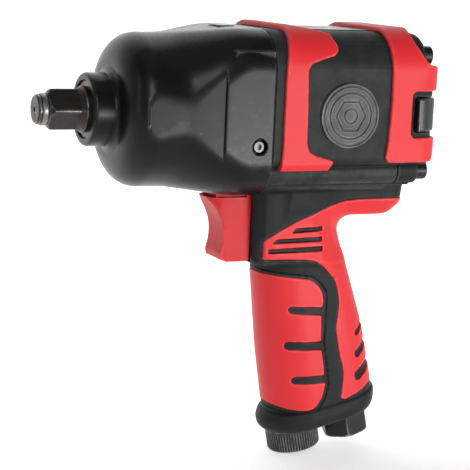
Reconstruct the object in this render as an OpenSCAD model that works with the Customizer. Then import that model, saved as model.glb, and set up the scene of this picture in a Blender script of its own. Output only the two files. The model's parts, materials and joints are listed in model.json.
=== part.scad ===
// Pistol-grip pneumatic impact wrench, twin-hammer clutch, sliding-vane air motor.
// Frame: origin at the centre of the square drive's end face, +X forward along the drive
// axis, +Z up, +Y to the user's left. Millimetres.

/* [Drive] */
// Square drive, across flats
drive_af = 12.7; // [12.6:0.05:12.8]
// Square drive, diameter over the rounded corners
drive_corner_d = 16.8; // [16.2:0.1:17]
// Anvil journal radius in the front bushing
journal_r = 9.5; // [9:0.1:9.6]

/* [Body] */
// Half width of the black motor housing
body_hy = 33.4; // [33:0.1:34]
// Height of the black motor housing above the drive axis
body_zt = 35; // [34.8:0.1:35.4]
// Thickness of the red bumper bands over the housing
band_t = 1.7; // [1.4:0.1:2]
// Radius of the motor bore in the housing
motor_bore_r = 26.5; // [26.45:0.05:26.6]

/* [Clutch] */
// Hammer pin radius
pin_r = 3.2; // [3:0.1:3.2]
// Hammer pin distance from the drive axis
pin_c = 17.5; // [17.4:0.1:17.6]

/* [Motor] */
// Rotor radius
rotor_r = 19; // [18.6:0.1:19]
// Offset of the cylinder bore from the rotor axis
cyl_e = 2.2; // [2:0.1:2.2]
// Number of vanes
vanes = 6; // [5:1:6]

/* [Handle] */
// Lean of the handle from vertical, in degrees
lean = 12; // [12:0.5:12]
// Half width of the grip
grip_w = 17.5; // [17:0.1:17.8]
// Across-flats size of the inlet hexagon
inlet_af = 19; // [18:0.5:19.5]
// Radius of the exhaust deflector
deflector_r = 11.8; // [11.5:0.1:12]

/* [Hidden] */
$fn = 48;
e = 0.01;

black = [0.10, 0.10, 0.11];
dark = [0.16, 0.16, 0.17];
red = [0.82, 0.10, 0.12];
steel = [0.62, 0.62, 0.64];
gunmetal = [0.28, 0.25, 0.24];

// Stations along the drive axis
x_case_f = -21;      // front face of the nose collar
x_case_r = -91;      // rear face of the hammer case
x_hsg_f = -91.6;     // front face of the motor housing
x_hsg_r = -152;      // rear face of the motor housing
x_cov_f = -152.6;    // front face of the rear cover
x_cov_r = -169.9;    // rear face of the rear cover
x_head = -162.8;      // seat of the bolt heads
x_rev = -163.6;      // axis of the reversing valve
z_rev = 1;
bolts = [[24.5, 25.6], [-24.5, 25.6], [25.5, -23.6], [-25.5, -23.6]];

// Handle frame: origin and the two stations of the bores in it
H0 = [-129, 0, -95];
t_in = -10.6;        // inlet bore
t_ex = 15.6;         // exhaust bore
s_base = -43.2;      // bottom face of the handle
s_seat = 22;         // throttle valve seat plane
z_rod = -51.5;       // trigger rod height

module H() { translate(H0) rotate([0, lean, 0]) children(); }
module xcyl(x0, x1, r, fn = 48) { translate([x1, 0, 0]) rotate([0, 90, 0]) cylinder(r = r, h = x0 - x1, $fn = fn); }
module xprism(x0, x1) { translate([x1, 0, 0]) rotate([90, 0, 90]) linear_extrude(x0 - x1) children(); }
module side(w = 90) { rotate([90, 0, 0]) translate([0, 0, -w / 2]) linear_extrude(w) children(); }
module xrev() { rotate([0, 90, 0]) rotate_extrude($fn = 72) children(); } // profile is [r, x]
function arc(cx, cy, r, a0, a1, n) = [for (i = [0:n]) [cx + r * cos(a0 + (a1 - a0) * i / n), cy + r * sin(a0 + (a1 - a0) * i / n)]];
// Rounded section in the YZ plane: half width, top, bottom, top corner and bottom corner radius
function sec(hy, zt, zb, rt, rb, n = 7) = concat(arc(hy - rt, zt - rt, rt, 0, 90, n), arc(-hy + rt, zt - rt, rt, 90, 180, n),
  arc(-hy + rb, zb + rb, rb, 180, 270, n), arc(hy - rb, zb + rb, rb, 270, 360, n));

// ---------- drive ----------
module lug(x0, x1, a, r, half) {
  xprism(x0, x1) polygon(concat([for (i = [0:6]) r * [cos(a - half + half * i / 3), sin(a - half + half * i / 3)]],
    [for (i = [0:4]) 6 * [cos(a + half - half * i / 2), sin(a + half - half * i / 2)]]));
}
module anvil() color(gunmetal) difference() {
  union() {
    xrev() polygon([[0, 0], [5.7, 0], [6.2, -0.5], [6.2, -1.7], [4.6, -1.7], [4.6, -4.6], [0, -4.6]]);
    intersection() {
      translate([-19.5, 0, 0]) rotate([45, 0, 0]) translate([0, -drive_af / 2, -drive_af / 2]) cube([14.9, drive_af, drive_af]);
      xrev() polygon([[0, -4.6], [6.9, -4.6], [drive_corner_d / 2, -6.2], [drive_corner_d / 2, -19.5], [0, -19.5]]);
    }
    xrev() polygon([[0, -17.4], [7, -17.4], [8.6, -18.6], [journal_r, -19.6], [journal_r, -42.8], [12.2, -42.8], [12.2, -44], [9.4, -44],
      [9.4, -49.6], [7.5, -49.6], [7.5, -73.6], [5, -73.6], [5, -78], [0, -78]]);
    lug(-50.3, -61.2, 90, 11.8, 22);
    lug(-62.3, -73.2, -90, 11.8, 22);
  }
  xrev() polygon([[0, 1], [1.5, 1], [0.8, -0.4], [0.8, -3], [0, -3.6]]);
}
module socket_retaining_ring() color(steel) difference() {
  xrev() polygon([[5.7, -1.95], [6.3, -1.95], [6.62, -2.6], [6.62, -3.7], [6.3, -4.35], [5.7, -4.35]]);
  translate([-6, -8, -0.6]) cube([6, 8, 1.2]);
}
module retaining_ring_o_ring() color(black) translate([-3.15, 0, 0]) rotate([0, 90, 0]) rotate_extrude() translate([5.15, 0]) circle(0.5, $fn = 20);
module anvil_bushing() color(steel) xrev() polygon([[journal_r + 0.05, -21.6], [11.6, -21.6], [12, -22], [12, -42.3], [journal_r + 0.05, -42.3]]);

// ---------- hammer case ----------
function dome(n) = [for (i = [0:n]) let (a = 88 - 86 * i / n) [17.2 + 14.7 * pow(cos(a), 0.87), -43.6 + 12.4 * pow(sin(a), 0.9)]];
function nose_profile() = concat([[11, -20.7], [13.8, -20.7]], arc(13.8, -22, 1.3, 90, 0, 4), [[15.1, -29]],
  arc(16.9, -29, 1.8, 180, 250, 4), dome(14), [[31.9, -45], [31.9, -46.5], [11, -46.5]]);
module case_sec(g = 0) { polygon(sec(34.4 + g, 35.3 + g, -33.9 - g, 17 + g, 16 + g)); }
module hammer_case() color(black) difference() {
  union() {
    xrev() polygon(nose_profile());
    hull() { xcyl(-45, -56, 31.8); xprism(-69.4, -69.8) polygon(sec(33.4, 33.7, -32.6, 17, 16)); }
    hull() { xprism(-69.8, -70.2) polygon(sec(34.4, 33.8, -32.7, 17, 16)); xprism(-79, -79.4) case_sec(); }
    xprism(-79, x_case_r) case_sec();
    // rails along the rear corners
    for (m = [1, -1]) {
      translate([0, 0, -23.3]) linear_extrude(8) polygon([[-73, 20], [-73, 31.2], [-74.4, 32.5], [-90.99, 33.8], [-90.99, 20]] * [[1, 0], [0, m]]);
      translate([0, 0, 16]) linear_extrude(11) polygon([[-73, 20], [-73, 30.2], [-74.4, 31.9], [-90.99, 33.5], [-90.99, 20]] * [[1, 0], [0, m]]);
    }
  }
  xcyl(-20, -43, 12.02);
  xcyl(-42.5, -92, 27.4, 72);
  // side pockets and the sloping lands below them
  for (m = [1, -1]) translate([0, 0, -21]) linear_extrude(42) polygon([[-41, 30.6], [-69.3, 33.3], [-69.3, 40], [-41, 40]] * [[1, 0], [0, m]]);
  // flat for the trigger
  translate([-92, -12.5, -38]) cube([18.5, 25, 5.7]);
  for (b = bolts) translate([-92, b[0], b[1]]) rotate([0, 90, 0]) cylinder(r = 2.55, h = 17);
  translate([-85, 20, -12]) rotate([-90, 0, 0]) cylinder(r = 2, h = 20);
  translate([-85, 31.2, -12]) rotate([-90, 0, 0]) cylinder(r = 3.2, h = 8);
  // seat of the front end plate's hub
  xcyl(-90, -92, 27.4);
}
module grease_plug() color(steel) translate([-85, 0, -12]) rotate([-90, 0, 0]) difference() {
  union() { translate([0, 0, 29.4]) cylinder(r = 1.97, h = 2); translate([0, 0, 31.3]) cylinder(r1 = 2.6, r2 = 2.2, h = 1.9); }
  translate([0, 0, 31.9]) cylinder(r = 1.3, h = 3, $fn = 6);
}

// ---------- twin-hammer clutch ----------
module web(a) { xprism(-49, -75) polygon(concat([for (i = [0:6]) 26.3 * [cos(a - 26 + 52 * i / 6), sin(a - 26 + 52 * i / 6)]],
  [for (i = [0:6]) 24 * [cos(a + 26 - 52 * i / 6), sin(a + 26 - 52 * i / 6)]])); }
function spline(r0, r1, n, w) = [for (i = [0:n - 1]) for (k = [0:3]) (k == 0 || k == 3 ? r0 : r1) *
  [cos(360 * i / n + [-w * 1.3, -w, w, w * 1.3][k]), sin(360 * i / n + [-w * 1.3, -w, w, w * 1.3][k])]];
module hammer_cage() color(gunmetal) difference() {
  union() { xcyl(-44.5, -49.5, 26.6, 72); xcyl(-74, -85, 26.6, 72); web(0); web(180); }
  xcyl(-44, -50, journal_r - 0.02);
  xcyl(-73, -78.5, 5.05);
  xprism(-78.4, -86) polygon(spline(6.1, 7.15, 6, 15));
  for (m = [1, -1]) translate([-82.5, 0, m * pin_c]) rotate([0, 90, 0]) cylinder(r = pin_r + 0.01, h = 40);
}
// Hammer with its pivot pin on the side z = m * pin_c
module hammer(x0, x1, m) difference() {
  intersection() { xcyl(x0, x1, 23, 72); translate([x1, -18.5, -25]) cube([x0 - x1, 37, 50]); }
  difference() {
    xcyl(x0 + 1, x1 - 1, 12.6);
    for (j = [1, -1]) intersection() {
      lug(x0 + 1, x1 - 1, m * 90 + j * 62, 14, 14);
      difference() { xcyl(x0 + 1, x1 - 1, 16); xcyl(x0 + 2, x1 - 2, 9.2); }
    }
  }
  translate([x1 - 1, 0, m * pin_c]) rotate([0, 90, 0]) cylinder(r = pin_r + 0.05, h = 20);
  for (dy = [-2.7, 2.7]) translate([x1 - 1, dy, -m * pin_c]) rotate([0, 90, 0]) cylinder(r = pin_r + 0.3, h = 20);
  translate([x1 - 1, -2.7, -m * pin_c - pin_r - 0.3]) cube([20, 5.4, 2 * pin_r + 0.6]);
}
module front_hammer() color(steel) hammer(-50, -61.5, 1);
module rear_hammer() color(steel) hammer(-62, -73.5, -1);
module hammer_pins() color(steel) for (m = [1, -1]) translate([-82, 0, m * pin_c]) rotate([0, 90, 0]) cylinder(r = pin_r, h = 37);

// ---------- air motor ----------
module bolt_holes(x0, x1, r) { for (b = bolts) translate([x1, b[0], b[1]]) rotate([0, 90, 0]) cylinder(r = r, h = x0 - x1); }
module case_gasket() color(dark) difference() {
  xprism(x_case_r, x_hsg_f) polygon(sec(body_hy - 0.6, body_zt - 0.6, -33, 16, 14));
  xcyl(-90, -93, 26.6); bolt_holes(-90, -93, 2.7);
  translate([-93, -12.5, -40]) cube([4, 25, 8]);
}
module front_end_plate() color(steel) difference() {
  union() { xcyl(x_hsg_f, -97.9, 26.4); xcyl(-85.6, x_hsg_f, 19.5); }
  xcyl(-85, -94.62, 16.02); xcyl(-94, -98.5, 8.2);
  translate([-98.5, 0, -23]) rotate([0, 90, 0]) cylinder(r = 1.52, h = 5);
}
module race_out(x0, x1, r0, r1, rp, rb) difference() {
  xcyl(x0, x1, r1); xcyl(x0 + 1, x1 - 1, r0);
  translate([(x0 + x1) / 2, 0, 0]) rotate([0, 90, 0]) rotate_extrude() translate([rp, 0]) circle(rb + 0.06, $fn = 24);
}
module balls(x, rp, rb, n) {
  for (i = [0:n - 1]) rotate([360 * i / n, 0, 0]) translate([x, rp, 0]) sphere(rb, $fn = 24);
  difference() { xcyl(x + 0.7, x - 0.7, rp + 0.5); xcyl(x + 2, x - 2, rp - 0.5); }
}
module front_bearing_outer_race() color(steel) race_out(-85.6, -94.6, 13, 16, 11.8, 2.35);
module front_bearing_inner_race() color(steel) race_out(-85.6, -94.6, 7.52, 10.6, 11.8, 2.35);
module front_bearing_balls() color(steel) balls(-90.1, 11.8, 2.35, 9);
module rear_bearing_outer_race() color(steel) race_out(-143.7, -151.7, 11.3, 14, 10.1, 2.1);
module rear_bearing_inner_race() color(steel) race_out(-143.7, -151.7, 6.02, 8.9, 10.1, 2.1);
module rear_bearing_balls() color(steel) balls(-147.7, 10.1, 2.1, 9);
module motor_cylinder() color(steel) difference() {
  xcyl(-97.9, -142.2, 26.4);
  translate([0, 0, cyl_e]) xcyl(-97, -143, 21.5);
  for (i = [0:4]) translate([-107 - 7 * i, 0, -10]) rotate([25, 0, 0]) translate([0, -1.6, -30]) cube([3.4, 3.2, 24]);
  for (i = [0:4]) translate([-107 - 7 * i, -30, -2]) cube([3.4, 14, 4]);
  translate([-143, 0, -23]) rotate([0, 90, 0]) cylinder(r = 1.52, h = 46);
}
module cylinder_dowel_pin() color(steel) translate([-150, 0, -23]) rotate([0, 90, 0]) cylinder(r = 1.5, h = 55.5);
module rotor() color(steel) difference() {
  union() {
    xprism(-79, -85.4) polygon(spline(6, 7.05, 6, 14));
    xcyl(-85.4, -98, 7.5);
    xcyl(-98.2, -141.9, rotor_r);
    xcyl(-98, -98.2, 8.6); xcyl(-141.9, -142.1, 6.4);
    xcyl(-142.1, -151.5, 6);
  }
  for (i = [0:vanes - 1]) rotate([360 * i / vanes + 30, 0, 0]) translate([-142, 10.6, -1.35]) cube([44, 12, 2.7]);
}
module rotor_vanes() color([0.55, 0.35, 0.2]) for (i = [0:vanes - 1]) rotate([360 * i / vanes + 30, 0, 0])
  translate([-141.8, 10.8, -1.27]) cube([43.5, 8.15, 2.54]);
module rear_end_plate() color(steel) difference() {
  xcyl(-142.2, -151.7, 26.4);
  xcyl(-143.68, -153, 14.02); xcyl(-141, -153, 6.9);
  translate([-150.1, 0, -23]) rotate([0, 90, 0]) cylinder(r = 1.52, h = 10);
}

// ---------- housing and handle ----------
// Barrel section; g shrinks or grows it
module barrel_sec(g = 0) {
  polygon(sec(body_hy + g, body_zt + g, -21 - g, 16 + g, 4));
}
module belly_sec() {
  polygon(sec(24, 0, -33.5, 2, 8));
  for (y = [-1, 1]) translate([y * 25.5, -23.6]) circle(5.6);
  translate([-27.5, -29.8]) square([55, 4]);
}
module slab(s, t0, t1, w, h = 0.4) { translate([0, 0, s]) for (t = [t0 + w, t1 - w]) translate([t, 0, 0]) cylinder(r = w, h = h, $fn = 32); }
module zslab(z, x0, x1, w, h = 0.4) { for (x = [x0 + w, x1 - w]) translate([x, 0, z]) cylinder(r = w, h = h, $fn = 32); }
module grip(g = 0) { H() hull() { slab(34, -19.5 - g, 22.3 + g, 15.5 + g); slab(-5, -24.2 - g, 25.8 + g, grip_w + g); slab(-40, -25.3 - g, 27.4 + g, grip_w + g); } }
function neck_plan(x0, xr, w, g) = [[x0 + g, 0], [x0 + g, 11.6], [x0 - 1.2 + g * 0.8, 13.1 + g * 0.7], [x0 - 4.2, w - 0.6 + g], [x0 - 8, w + g],
  [xr + 17, w + g], [xr + 8, w - 3.5 + g], [xr + 2.6 - g * 0.7, w - 8], [xr - g, 0]];
module neck_slab(z, x0, xr, w, g) { p = neck_plan(x0, xr, w, g); translate([0, 0, z]) linear_extrude(0.4)
  polygon(concat(p, [for (i = [len(p) - 1:-1:0]) [p[i][0], -p[i][1]]])); }
module neck(g = 0) { hull() { neck_slab(-31, -93.4, -132.5, 17, g); neck_slab(-65.4 - g, -94.6, -143.6, 16.4, g); } }
module tslab(z, xr, w, r = 7) { for (x = [xr + r, -118], y = [-1, 1]) translate([x, y * (w - r), z]) cylinder(r = r, h = 0.4, $fn = 24); }
module tail(g = 0) { hull() { tslab(-31, -168 - g, 14 + g); tslab(-40, -167 - g, 13.3 + g); tslab(-45.6 - g, -160 - g, 9.6 + g); } }
// Regions of the red overmould seen from the side, [x, z]
up_reg = [[-176, -36.6], [-144.2, -36.8], [-131.2, -38.9], [-119.9, -43.2], [-109.3, -48.1], [-97.7, -53.5], [-96.1, -55.2],
  [-96.2, -62.5], [-118.2, -63.4], [-125.1, -65.5], [-129.6, -69.4], [-133.3, -73.8], [-135.1, -80.2], [-135.4, -84], [-134.5, -91.3],
  [-134.3, -95.8], [-136.4, -105.4], [-138.7, -113.3], [-138.9, -122.2], [-138.4, -126.2], [-140.6, -127], [-155.8, -120.6], [-176, -112]];
fr_reg = [[-88, -65.3], [-92.2, -66.9], [-98.9, -69.8], [-117.2, -71.8], [-122.6, -73.3], [-126.3, -77.1], [-127.7, -81.6],
  [-127, -85.2], [-111, -84], [-109.6, -85.5], [-110.8, -87.4], [-127, -88.6],
  [-127.1, -99.9], [-109.6, -99.2], [-108.2, -101], [-109.4, -102.9], [-127.6, -103.6],
  [-129.6, -114.2], [-114, -114.6], [-112.4, -116.4], [-113.6, -118.3], [-130.2, -117.8],
  [-130.3, -119.7], [-128.6, -126], [-124, -130.7], [-112.2, -130.4], [-99.5, -126.8], [-88, -124]];
module louvers() {
  for (q = [[[-112.6, -49.4], [-126.1, -49.0], [-125.8, -51.0], [-110.3, -51.6]], [[-103.6, -54.0], [-125.9, -53.4], [-125.7, -55.6], [-101.2, -55.9]],
      [[-99.9, -58.2], [-126.1, -57.6], [-126.2, -59.9], [-100, -60.2]]]) polygon(q);
}
module rear_slots() {
  for (q = [[-148.5, -96.4, 1.2, 3.2], [-149.9, -105, 1.5, 4.4], [-150.8, -114.9, 1.8, 5.2]])
    translate([q[0], q[1]]) rotate(-38) translate([-12, -q[2]]) square([12 + q[3], 2 * q[2]]);
}
module grip_solid(g) { grip(g); neck(g); tail(g); }
module base() { H() hull() { slab(-34.8, -26, 28.5, 17.8); slab(-38.4, -25.4, 30.4, 18.6); slab(-41.2, -24.2, 30.2, 18.4); slab(s_base, -22.4, 28.4, 17); } }
module sunk_grip() { difference() { intersection() { grip_solid(-0.25); side() polygon([[-60, -28], [-200, -28], [-200, -140], [-60, -140]]); }
  side() polygon(up_reg); side() polygon(fr_reg); } }
module motor_housing() color(black) difference() {
  union() {
    xprism(x_hsg_f, x_hsg_r) barrel_sec();
    xprism(x_hsg_f, x_hsg_r) belly_sec();
    grip(-1.7); neck(-1.7); tail(-1.7);
    sunk_grip();
    base();
  }
  xcyl(-90, -153, motor_bore_r, 72);
  bolt_holes(-91, -153, 2.8);
  translate([-91.6, -40, -37]) cube([10, 80, 80]);
  // pocket for the trigger, bore for its bushing
  translate([-101, -9.1, -64.9]) cube([20, 18.2, 38]);
  translate([-121, 0, z_rod]) rotate([0, 90, 0]) cylinder(r = 4.52, h = 25);
  translate([-130, 0, z_rod]) rotate([0, 90, 0]) cylinder(r = 2.6, h = 12);
  // inlet bore, valve chamber and port to the motor
  H() translate([t_in, 0, 0]) {
    translate([0, 0, s_base - 1]) cylinder(r = 8.53, h = 17.2);
    translate([0, 0, s_base]) cylinder(r = 6.52, h = 76);
    translate([-1.5, 0, 30]) cylinder(r = 8.6, h = 23);
    translate([0, 0, 50]) cylinder(r = 5, h = 24);
  }
  // exhaust passage
  H() translate([t_ex, 0, 0]) {
    translate([0, 0, s_base - 1]) cylinder(r = 7.52, h = 12.5);
    translate([0, 0, s_base]) cylinder(r = 6, h = 115);
  }
}
module case_outer_cut() { side() polygon([[-91.7, -60], [-91.7, -30]]); }

// Red bands: a shell over the barrel, cut to its outline seen from the side
fb_reg = [[-99.6, 42], [-98.8, 34], [-97, 28.5], [-95.8, 22], [-95.5, 15], [-95.5, 3.5], [-95.5, -12], [-95.4, -20.3], [-116, -20.3],
  [-119.1, -19.3], [-117.4, -17.6], [-111.6, -16.1], [-107.4, -14.1], [-106.3, -10.8], [-105.9, 5.8], [-105.3, 19.5],
  [-106.8, 22], [-112.2, 23.9], [-117.6, 25.4], [-119.6, 27.4], [-119.6, 30], [-118.4, 32.4], [-117, 42]];
rb_reg = [[-144.6, 42], [-144.8, 30], [-145.2, 17], [-145.4, 5.7], [-144.8, -10], [-143.8, -17], [-145.5, -19.3], [-176, -19.3],
  [-176, -8.7], [-156.8, -8.7], [-155.3, -7.2], [-155.3, 9.5], [-156.8, 11], [-176, 11], [-176, 21.3], [-166.5, 21.6], [-163.5, 22.2],
  [-161.4, 24], [-159.2, 27.5], [-157.4, 31], [-156.8, 34], [-157.4, 36], [-160, 38], [-160, 42]];
// Plan and side outlines that round off the rear end; g grows them
function rear_plan(g) = let (h = concat([[-80, 40], [-158, 40], [-159.9, 35.1 + g]], arc(-159.9, 23.5, 11.6 + g, 88, 178, 7), [[-171.5 - g, 0]]))
  concat(h, [for (i = [len(h) - 1:-1:0]) [h[i][0], -h[i][1]]]);
function rear_side(g) = concat([[-80, 42], [-153, 42], [-153, 37.3 + g], [-159, 37.2 + g], [-163, 36.2 + g], [-166.6, 34 + g], [-169.4, 30.8 + g / 2],
  [-171.2 - g, 26], [-171.5 - g, 22], [-171.5 - g, -14], [-169.5, -18.6 - g / 2], [-166, -22 - g], [-164, -60], [-80, -60]]);
module rear_round(g) { intersection() { translate([0, 0, -60]) linear_extrude(110) polygon(rear_plan(g)); side() polygon(rear_side(g)); } }
module shell(x0, x1) { xprism(x0, x1) difference() { polygon(sec(body_hy + band_t, body_zt + band_t + 0.5, -23, 17.7, 4)); barrel_sec(0.03); } }
module front_bumper() color(red) intersection() { shell(-80, -130); side() polygon(fb_reg);
  difference() { translate([-130, -40, -20.6]) cube([50, 80, 70]);
    translate([0, 0, 28]) linear_extrude(20) polygon([[-104, -20.5], [-104, 20.5], [-123, 28.8], [-123, -28.8]]); } }
module rear_bumper() color(red) difference() {
  intersection() {
    difference() { xprism(-110, -176) polygon(sec(body_hy + band_t, body_zt + band_t + 0.5, -19.3, 17.7, 1)); cover_core(0.03); xprism(-100, -152.61) barrel_sec(0.03); }
    side() polygon(rb_reg);
    rear_round(0);
  }
  translate([-180, -20, -30]) cube([15.5, 40, 51.5]);
}

// ---------- rear cover ----------
module cover_core(g = 0) { intersection() { xprism(x_cov_f + 0.1, x_cov_r - g) union() { barrel_sec(g); }
    rear_round(-1.6 + g); } }
module rear_cover() color(black) difference() {
  union() {
    difference() {
      intersection() { cover_core(); translate([x_cov_r - 1, -50, -50]) cube([x_cov_f - x_cov_r + 1, 100, 100]); }
      // upper corners cut back for the bolt heads
      for (m = [1, -1]) translate([-180, m * 30.5 - 10.5, 20.9]) cube([180 + x_head + 0.6, 21, 30]);
    }
    for (b = bolts) intersection() { translate([x_head + 0.6, b[0], b[1]]) rotate([0, 90, 0]) cylinder(r = b[1] > 0 ? 5 : 5.6, h = x_cov_f - x_head - 0.6);
      translate([-180, -50, -50]) cube([x_cov_f + 180, 100, 100]); }
    intersection() { xprism(x_cov_f, -161.2) belly_sec(); side() polygon([[-150, 10], [-161.2, 10], [-161.2, -26.8], [-160.4, -29.9], [-158.9, -30.6], [-150, -30.6]]); }
  }
  // bearing clearance and air chamber
  xcyl(-150, -157, 15);
  bolt_holes(-152, -180, 2.8);
  bolt_holes(x_head + 0.6, -180, 4.6);
  // reversing valve bore and button pockets
  translate([x_rev, -40, z_rev]) rotate([-90, 0, 0]) cylinder(r = 4.8, h = 80);
  for (m = [1, -1]) translate([-180, m == 1 ? 22.5 : -42.5, z_rev - 7.5]) cube([22.6, 20, 15]);
}
module rear_gasket() color(dark) difference() {
  xprism(x_hsg_r, x_cov_f) polygon(sec(body_hy - 0.6, body_zt - 0.6, -20.6, 15.4, 4));
  xcyl(-150, -154, 15); bolt_holes(-150, -154, 2.7);
}
module housing_bolts() color(steel) for (b = bolts) translate([0, b[0], b[1]]) difference() {
  union() { xcyl(-76, x_head - 0.1, 2.5); xcyl(x_head, x_head - 4.9, 4.1); }
  translate([x_head - 6, 0, 0]) rotate([0, 90, 0]) cylinder(r = 2.3, h = 3.6, $fn = 6);
}
module bolt_washers() color(steel) for (b = bolts) translate([0, b[0], b[1]]) difference() { xcyl(x_head + 0.6, x_head, 4.4); xcyl(x_head + 1, x_head - 1, 2.6); }
module reverse_valve_spool() color(steel) translate([x_rev, 0, z_rev]) rotate([-90, 0, 0]) difference() {
  translate([0, 0, -28]) cylinder(r = 4.75, h = 52);
  for (z = [-11, 5]) translate([0, 0, z]) difference() { cylinder(r = 6, h = 6); translate([0, 0, -1]) cylinder(r = 3.2, h = 8); }
  for (z = [-17, 16]) translate([0, 0, z]) difference() { cylinder(r = 6, h = 1.8); translate([0, 0, -1]) cylinder(r = 3.9, h = 8); }
}
module spool_o_rings() color(black) for (z = [-16.1, 16.9]) translate([x_rev, z, z_rev]) rotate([-90, 0, 0]) rotate_extrude() translate([4.32, 0]) circle(0.4, $fn = 16);
module reverse_buttons() color(dark) for (dy = [0, -4]) intersection() {
  translate([-170.6, dy == 0 ? 24 : -36.5, z_rev - 7.1]) cube([12.8, 12.5 + dy, 14.2]);
  translate([0, dy, 0]) rear_round(-0.6);
  translate([-164.2, -60, z_rev]) rotate([-90, 0, 0]) cylinder(r = 10.4, h = 120);
}

// ---------- grip overmould, badges and plates ----------
module grip_core() { grip(-1.68); neck(-1.68); tail(-1.68); }
module upper_grip_panel() color(red) difference() {
  intersection() { grip_solid(0); side() polygon(up_reg); }
  grip_core();
  side() louvers();
  side() rear_slots();
  base_clear();
  translate([-101, -9.1, -64.9]) cube([20, 18.2, 38]);
}
module base_clear() { H() hull() { slab(-34.4, -27, 31, 20); slab(-50, -27, 31, 20); } }
module front_grip_panel() color(red) difference() {
  intersection() { grip(0); side() polygon(fr_reg); }
  grip(-1.68);
  neck(-0.2);
  base_clear();
}
module side_badges() color(dark) for (m = [1, -1]) translate([-126, m * (body_hy + 0.02), 0.7]) rotate([-90 * m, 0, 0]) difference() {
  cylinder(r = 13.6, h = 0.9);
  translate([0, 0, 0.5]) difference() { cylinder(r = 12.2, h = 2); cylinder(r = 7.6, h = 2, $fn = 6); }
  translate([0, 0, 0.5]) cylinder(r = 4.2, h = 2);
}
module rating_plate() color(dark) translate([0, 0, body_zt + 0.02]) linear_extrude(0.35) polygon([[-105.5, -14.5], [-105.5, 14.5], [-143, 16.4], [-143, -16.4]]);
module case_plate() color(steel) translate([-84, -6, 35.32]) cube([7, 12, 0.3]);

// ---------- trigger and throttle ----------
trig_side = [[-74.3, -35.4], [-77.6, -40], [-80.7, -45], [-82.2, -50], [-82, -56], [-80.7, -61], [-81.4, -63.6], [-84, -64.5], [-94.6, -64.5],
  [-94.6, -32.9], [-84.4, -32.9]];
module trigger() color(red) difference() {
  intersection() {
    side(21) polygon(trig_side);
    translate([0, 0, -70]) linear_extrude(50) polygon([[-74.1, 0], [-75.2, 4.2], [-77.4, 7], [-81.4, 8.8], [-100, 8.8], [-100, -8.8], [-81.4, -8.8], [-77.4, -7], [-75.2, -4.2]]);
  }
  // groove under the top shoulder, bore for the rod
  translate([-93.4, -12, -37.6]) difference() { cube([20, 24, 0.9]); translate([-2, 3.9, -1]) cube([14.6, 16.2, 3]); }
  translate([-95, 0, z_rod]) rotate([0, 90, 0]) cylinder(r = 2.02, h = 7);
}
module trigger_rod() color(steel) translate([0, 0, z_rod]) {
  xcyl(-88.3, -126.6, 2);
  translate([-126.6, 0, 0]) sphere(2);
}
module trigger_bushing() color([0.75, 0.6, 0.3]) translate([0, 0, z_rod]) difference() {
  xcyl(-101, -121, 4.5); xcyl(-100, -125, 2.05);
  xcyl(-116, -118, 3.6);
}
module trigger_rod_seal() color(black) translate([-117, 0, z_rod]) rotate([0, 90, 0]) rotate_extrude() translate([2.83, 0]) circle(0.72, $fn = 20);
module throttle_valve() color(steel) H() translate([t_in, 0, s_seat]) {
  translate([0, 0, -2.6]) cylinder(r = 5.3, h = 2.5);
  translate([0, 0, -6]) cylinder(r = 1.6, h = 4);
  translate([0, 0, -1]) cylinder(r = 1.35, h = 23);
}
module throttle_valve_seat() color([0.75, 0.6, 0.3]) H() translate([t_in, 0, s_seat]) difference() {
  cylinder(r = 6.5, h = 4); translate([0, 0, -1]) cylinder(r = 3.8, h = 6);
}
// Conical helical spring, wire radius w, from radius r0 at the bottom to r1 at the top
function helix_pt(i, n, turns, h, r0, r1) = let (u = i / n, a = 360 * turns * u) [(r0 + (r1 - r0) * u) * cos(a), (r0 + (r1 - r0) * u) * sin(a), h * u];
module coil(n, turns, h, r0, r1, w, k = 8) {
  pts = [for (i = [0:n]) let (p = helix_pt(i, n, turns, h, r0, r1), a = 360 * turns * i / n) for (j = [0:k - 1])
    p + w * cos(360 * j / k) * [cos(a), sin(a), 0] + w * sin(360 * j / k) * [0, 0, 1]];
  polyhedron(pts, concat([[for (j = [k - 1:-1:0]) j]], [for (i = [0:n - 1]) for (j = [0:k - 1]) [i * k + j, i * k + (j + 1) % k, (i + 1) * k + (j + 1) % k, (i + 1) * k + j]],
    [[for (j = [0:k - 1]) n * k + j]]));
}
module throttle_spring() color(steel) H() translate([t_in, 0, 7.5]) coil(96, 6, 11.1, 4.9, 3.4, 0.55);
module throttle_spring_seat() color(steel) H() translate([t_in, 0, 5]) difference() { cylinder(r = 6.5, h = 1.8); translate([0, 0, -1]) cylinder(r = 2.6, h = 4); }
module inlet_screen() color(steel) H() translate([t_in, 0, -20]) difference() {
  union() { cylinder(r = 6.4, h = 1.2); cylinder(r = 4.4, h = 12); }
  translate([0, 0, -1]) cylinder(r = 3.8, h = 12.2);
}
module inlet_bushing() color(gunmetal) H() translate([t_in, 0, 0]) difference() {
  union() {
    translate([0, 0, -44.5]) cylinder(r = 8.5, h = 17.3);
    intersection() { translate([0, 0, -54.9]) rotate([0, 0, 12]) cylinder(r = inlet_af / 2 / cos(30), h = 11, $fn = 6);
      translate([0, 0, -54.9]) cylinder(r1 = inlet_af / 2 + 0.3, r2 = inlet_af / 2 + 9, h = 11.1); }
  }
  translate([0, 0, -55.6]) cylinder(r = 5.72, h = 11.5);
  translate([0, 0, -45]) cylinder(r = 4.4, h = 19);
}
module inlet_washer() color(dark) H() translate([t_in, 0, -43.85]) difference() { cylinder(r = 9.2, h = 0.6); translate([0, 0, -1]) cylinder(r = 8.55, h = 3); }
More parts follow.
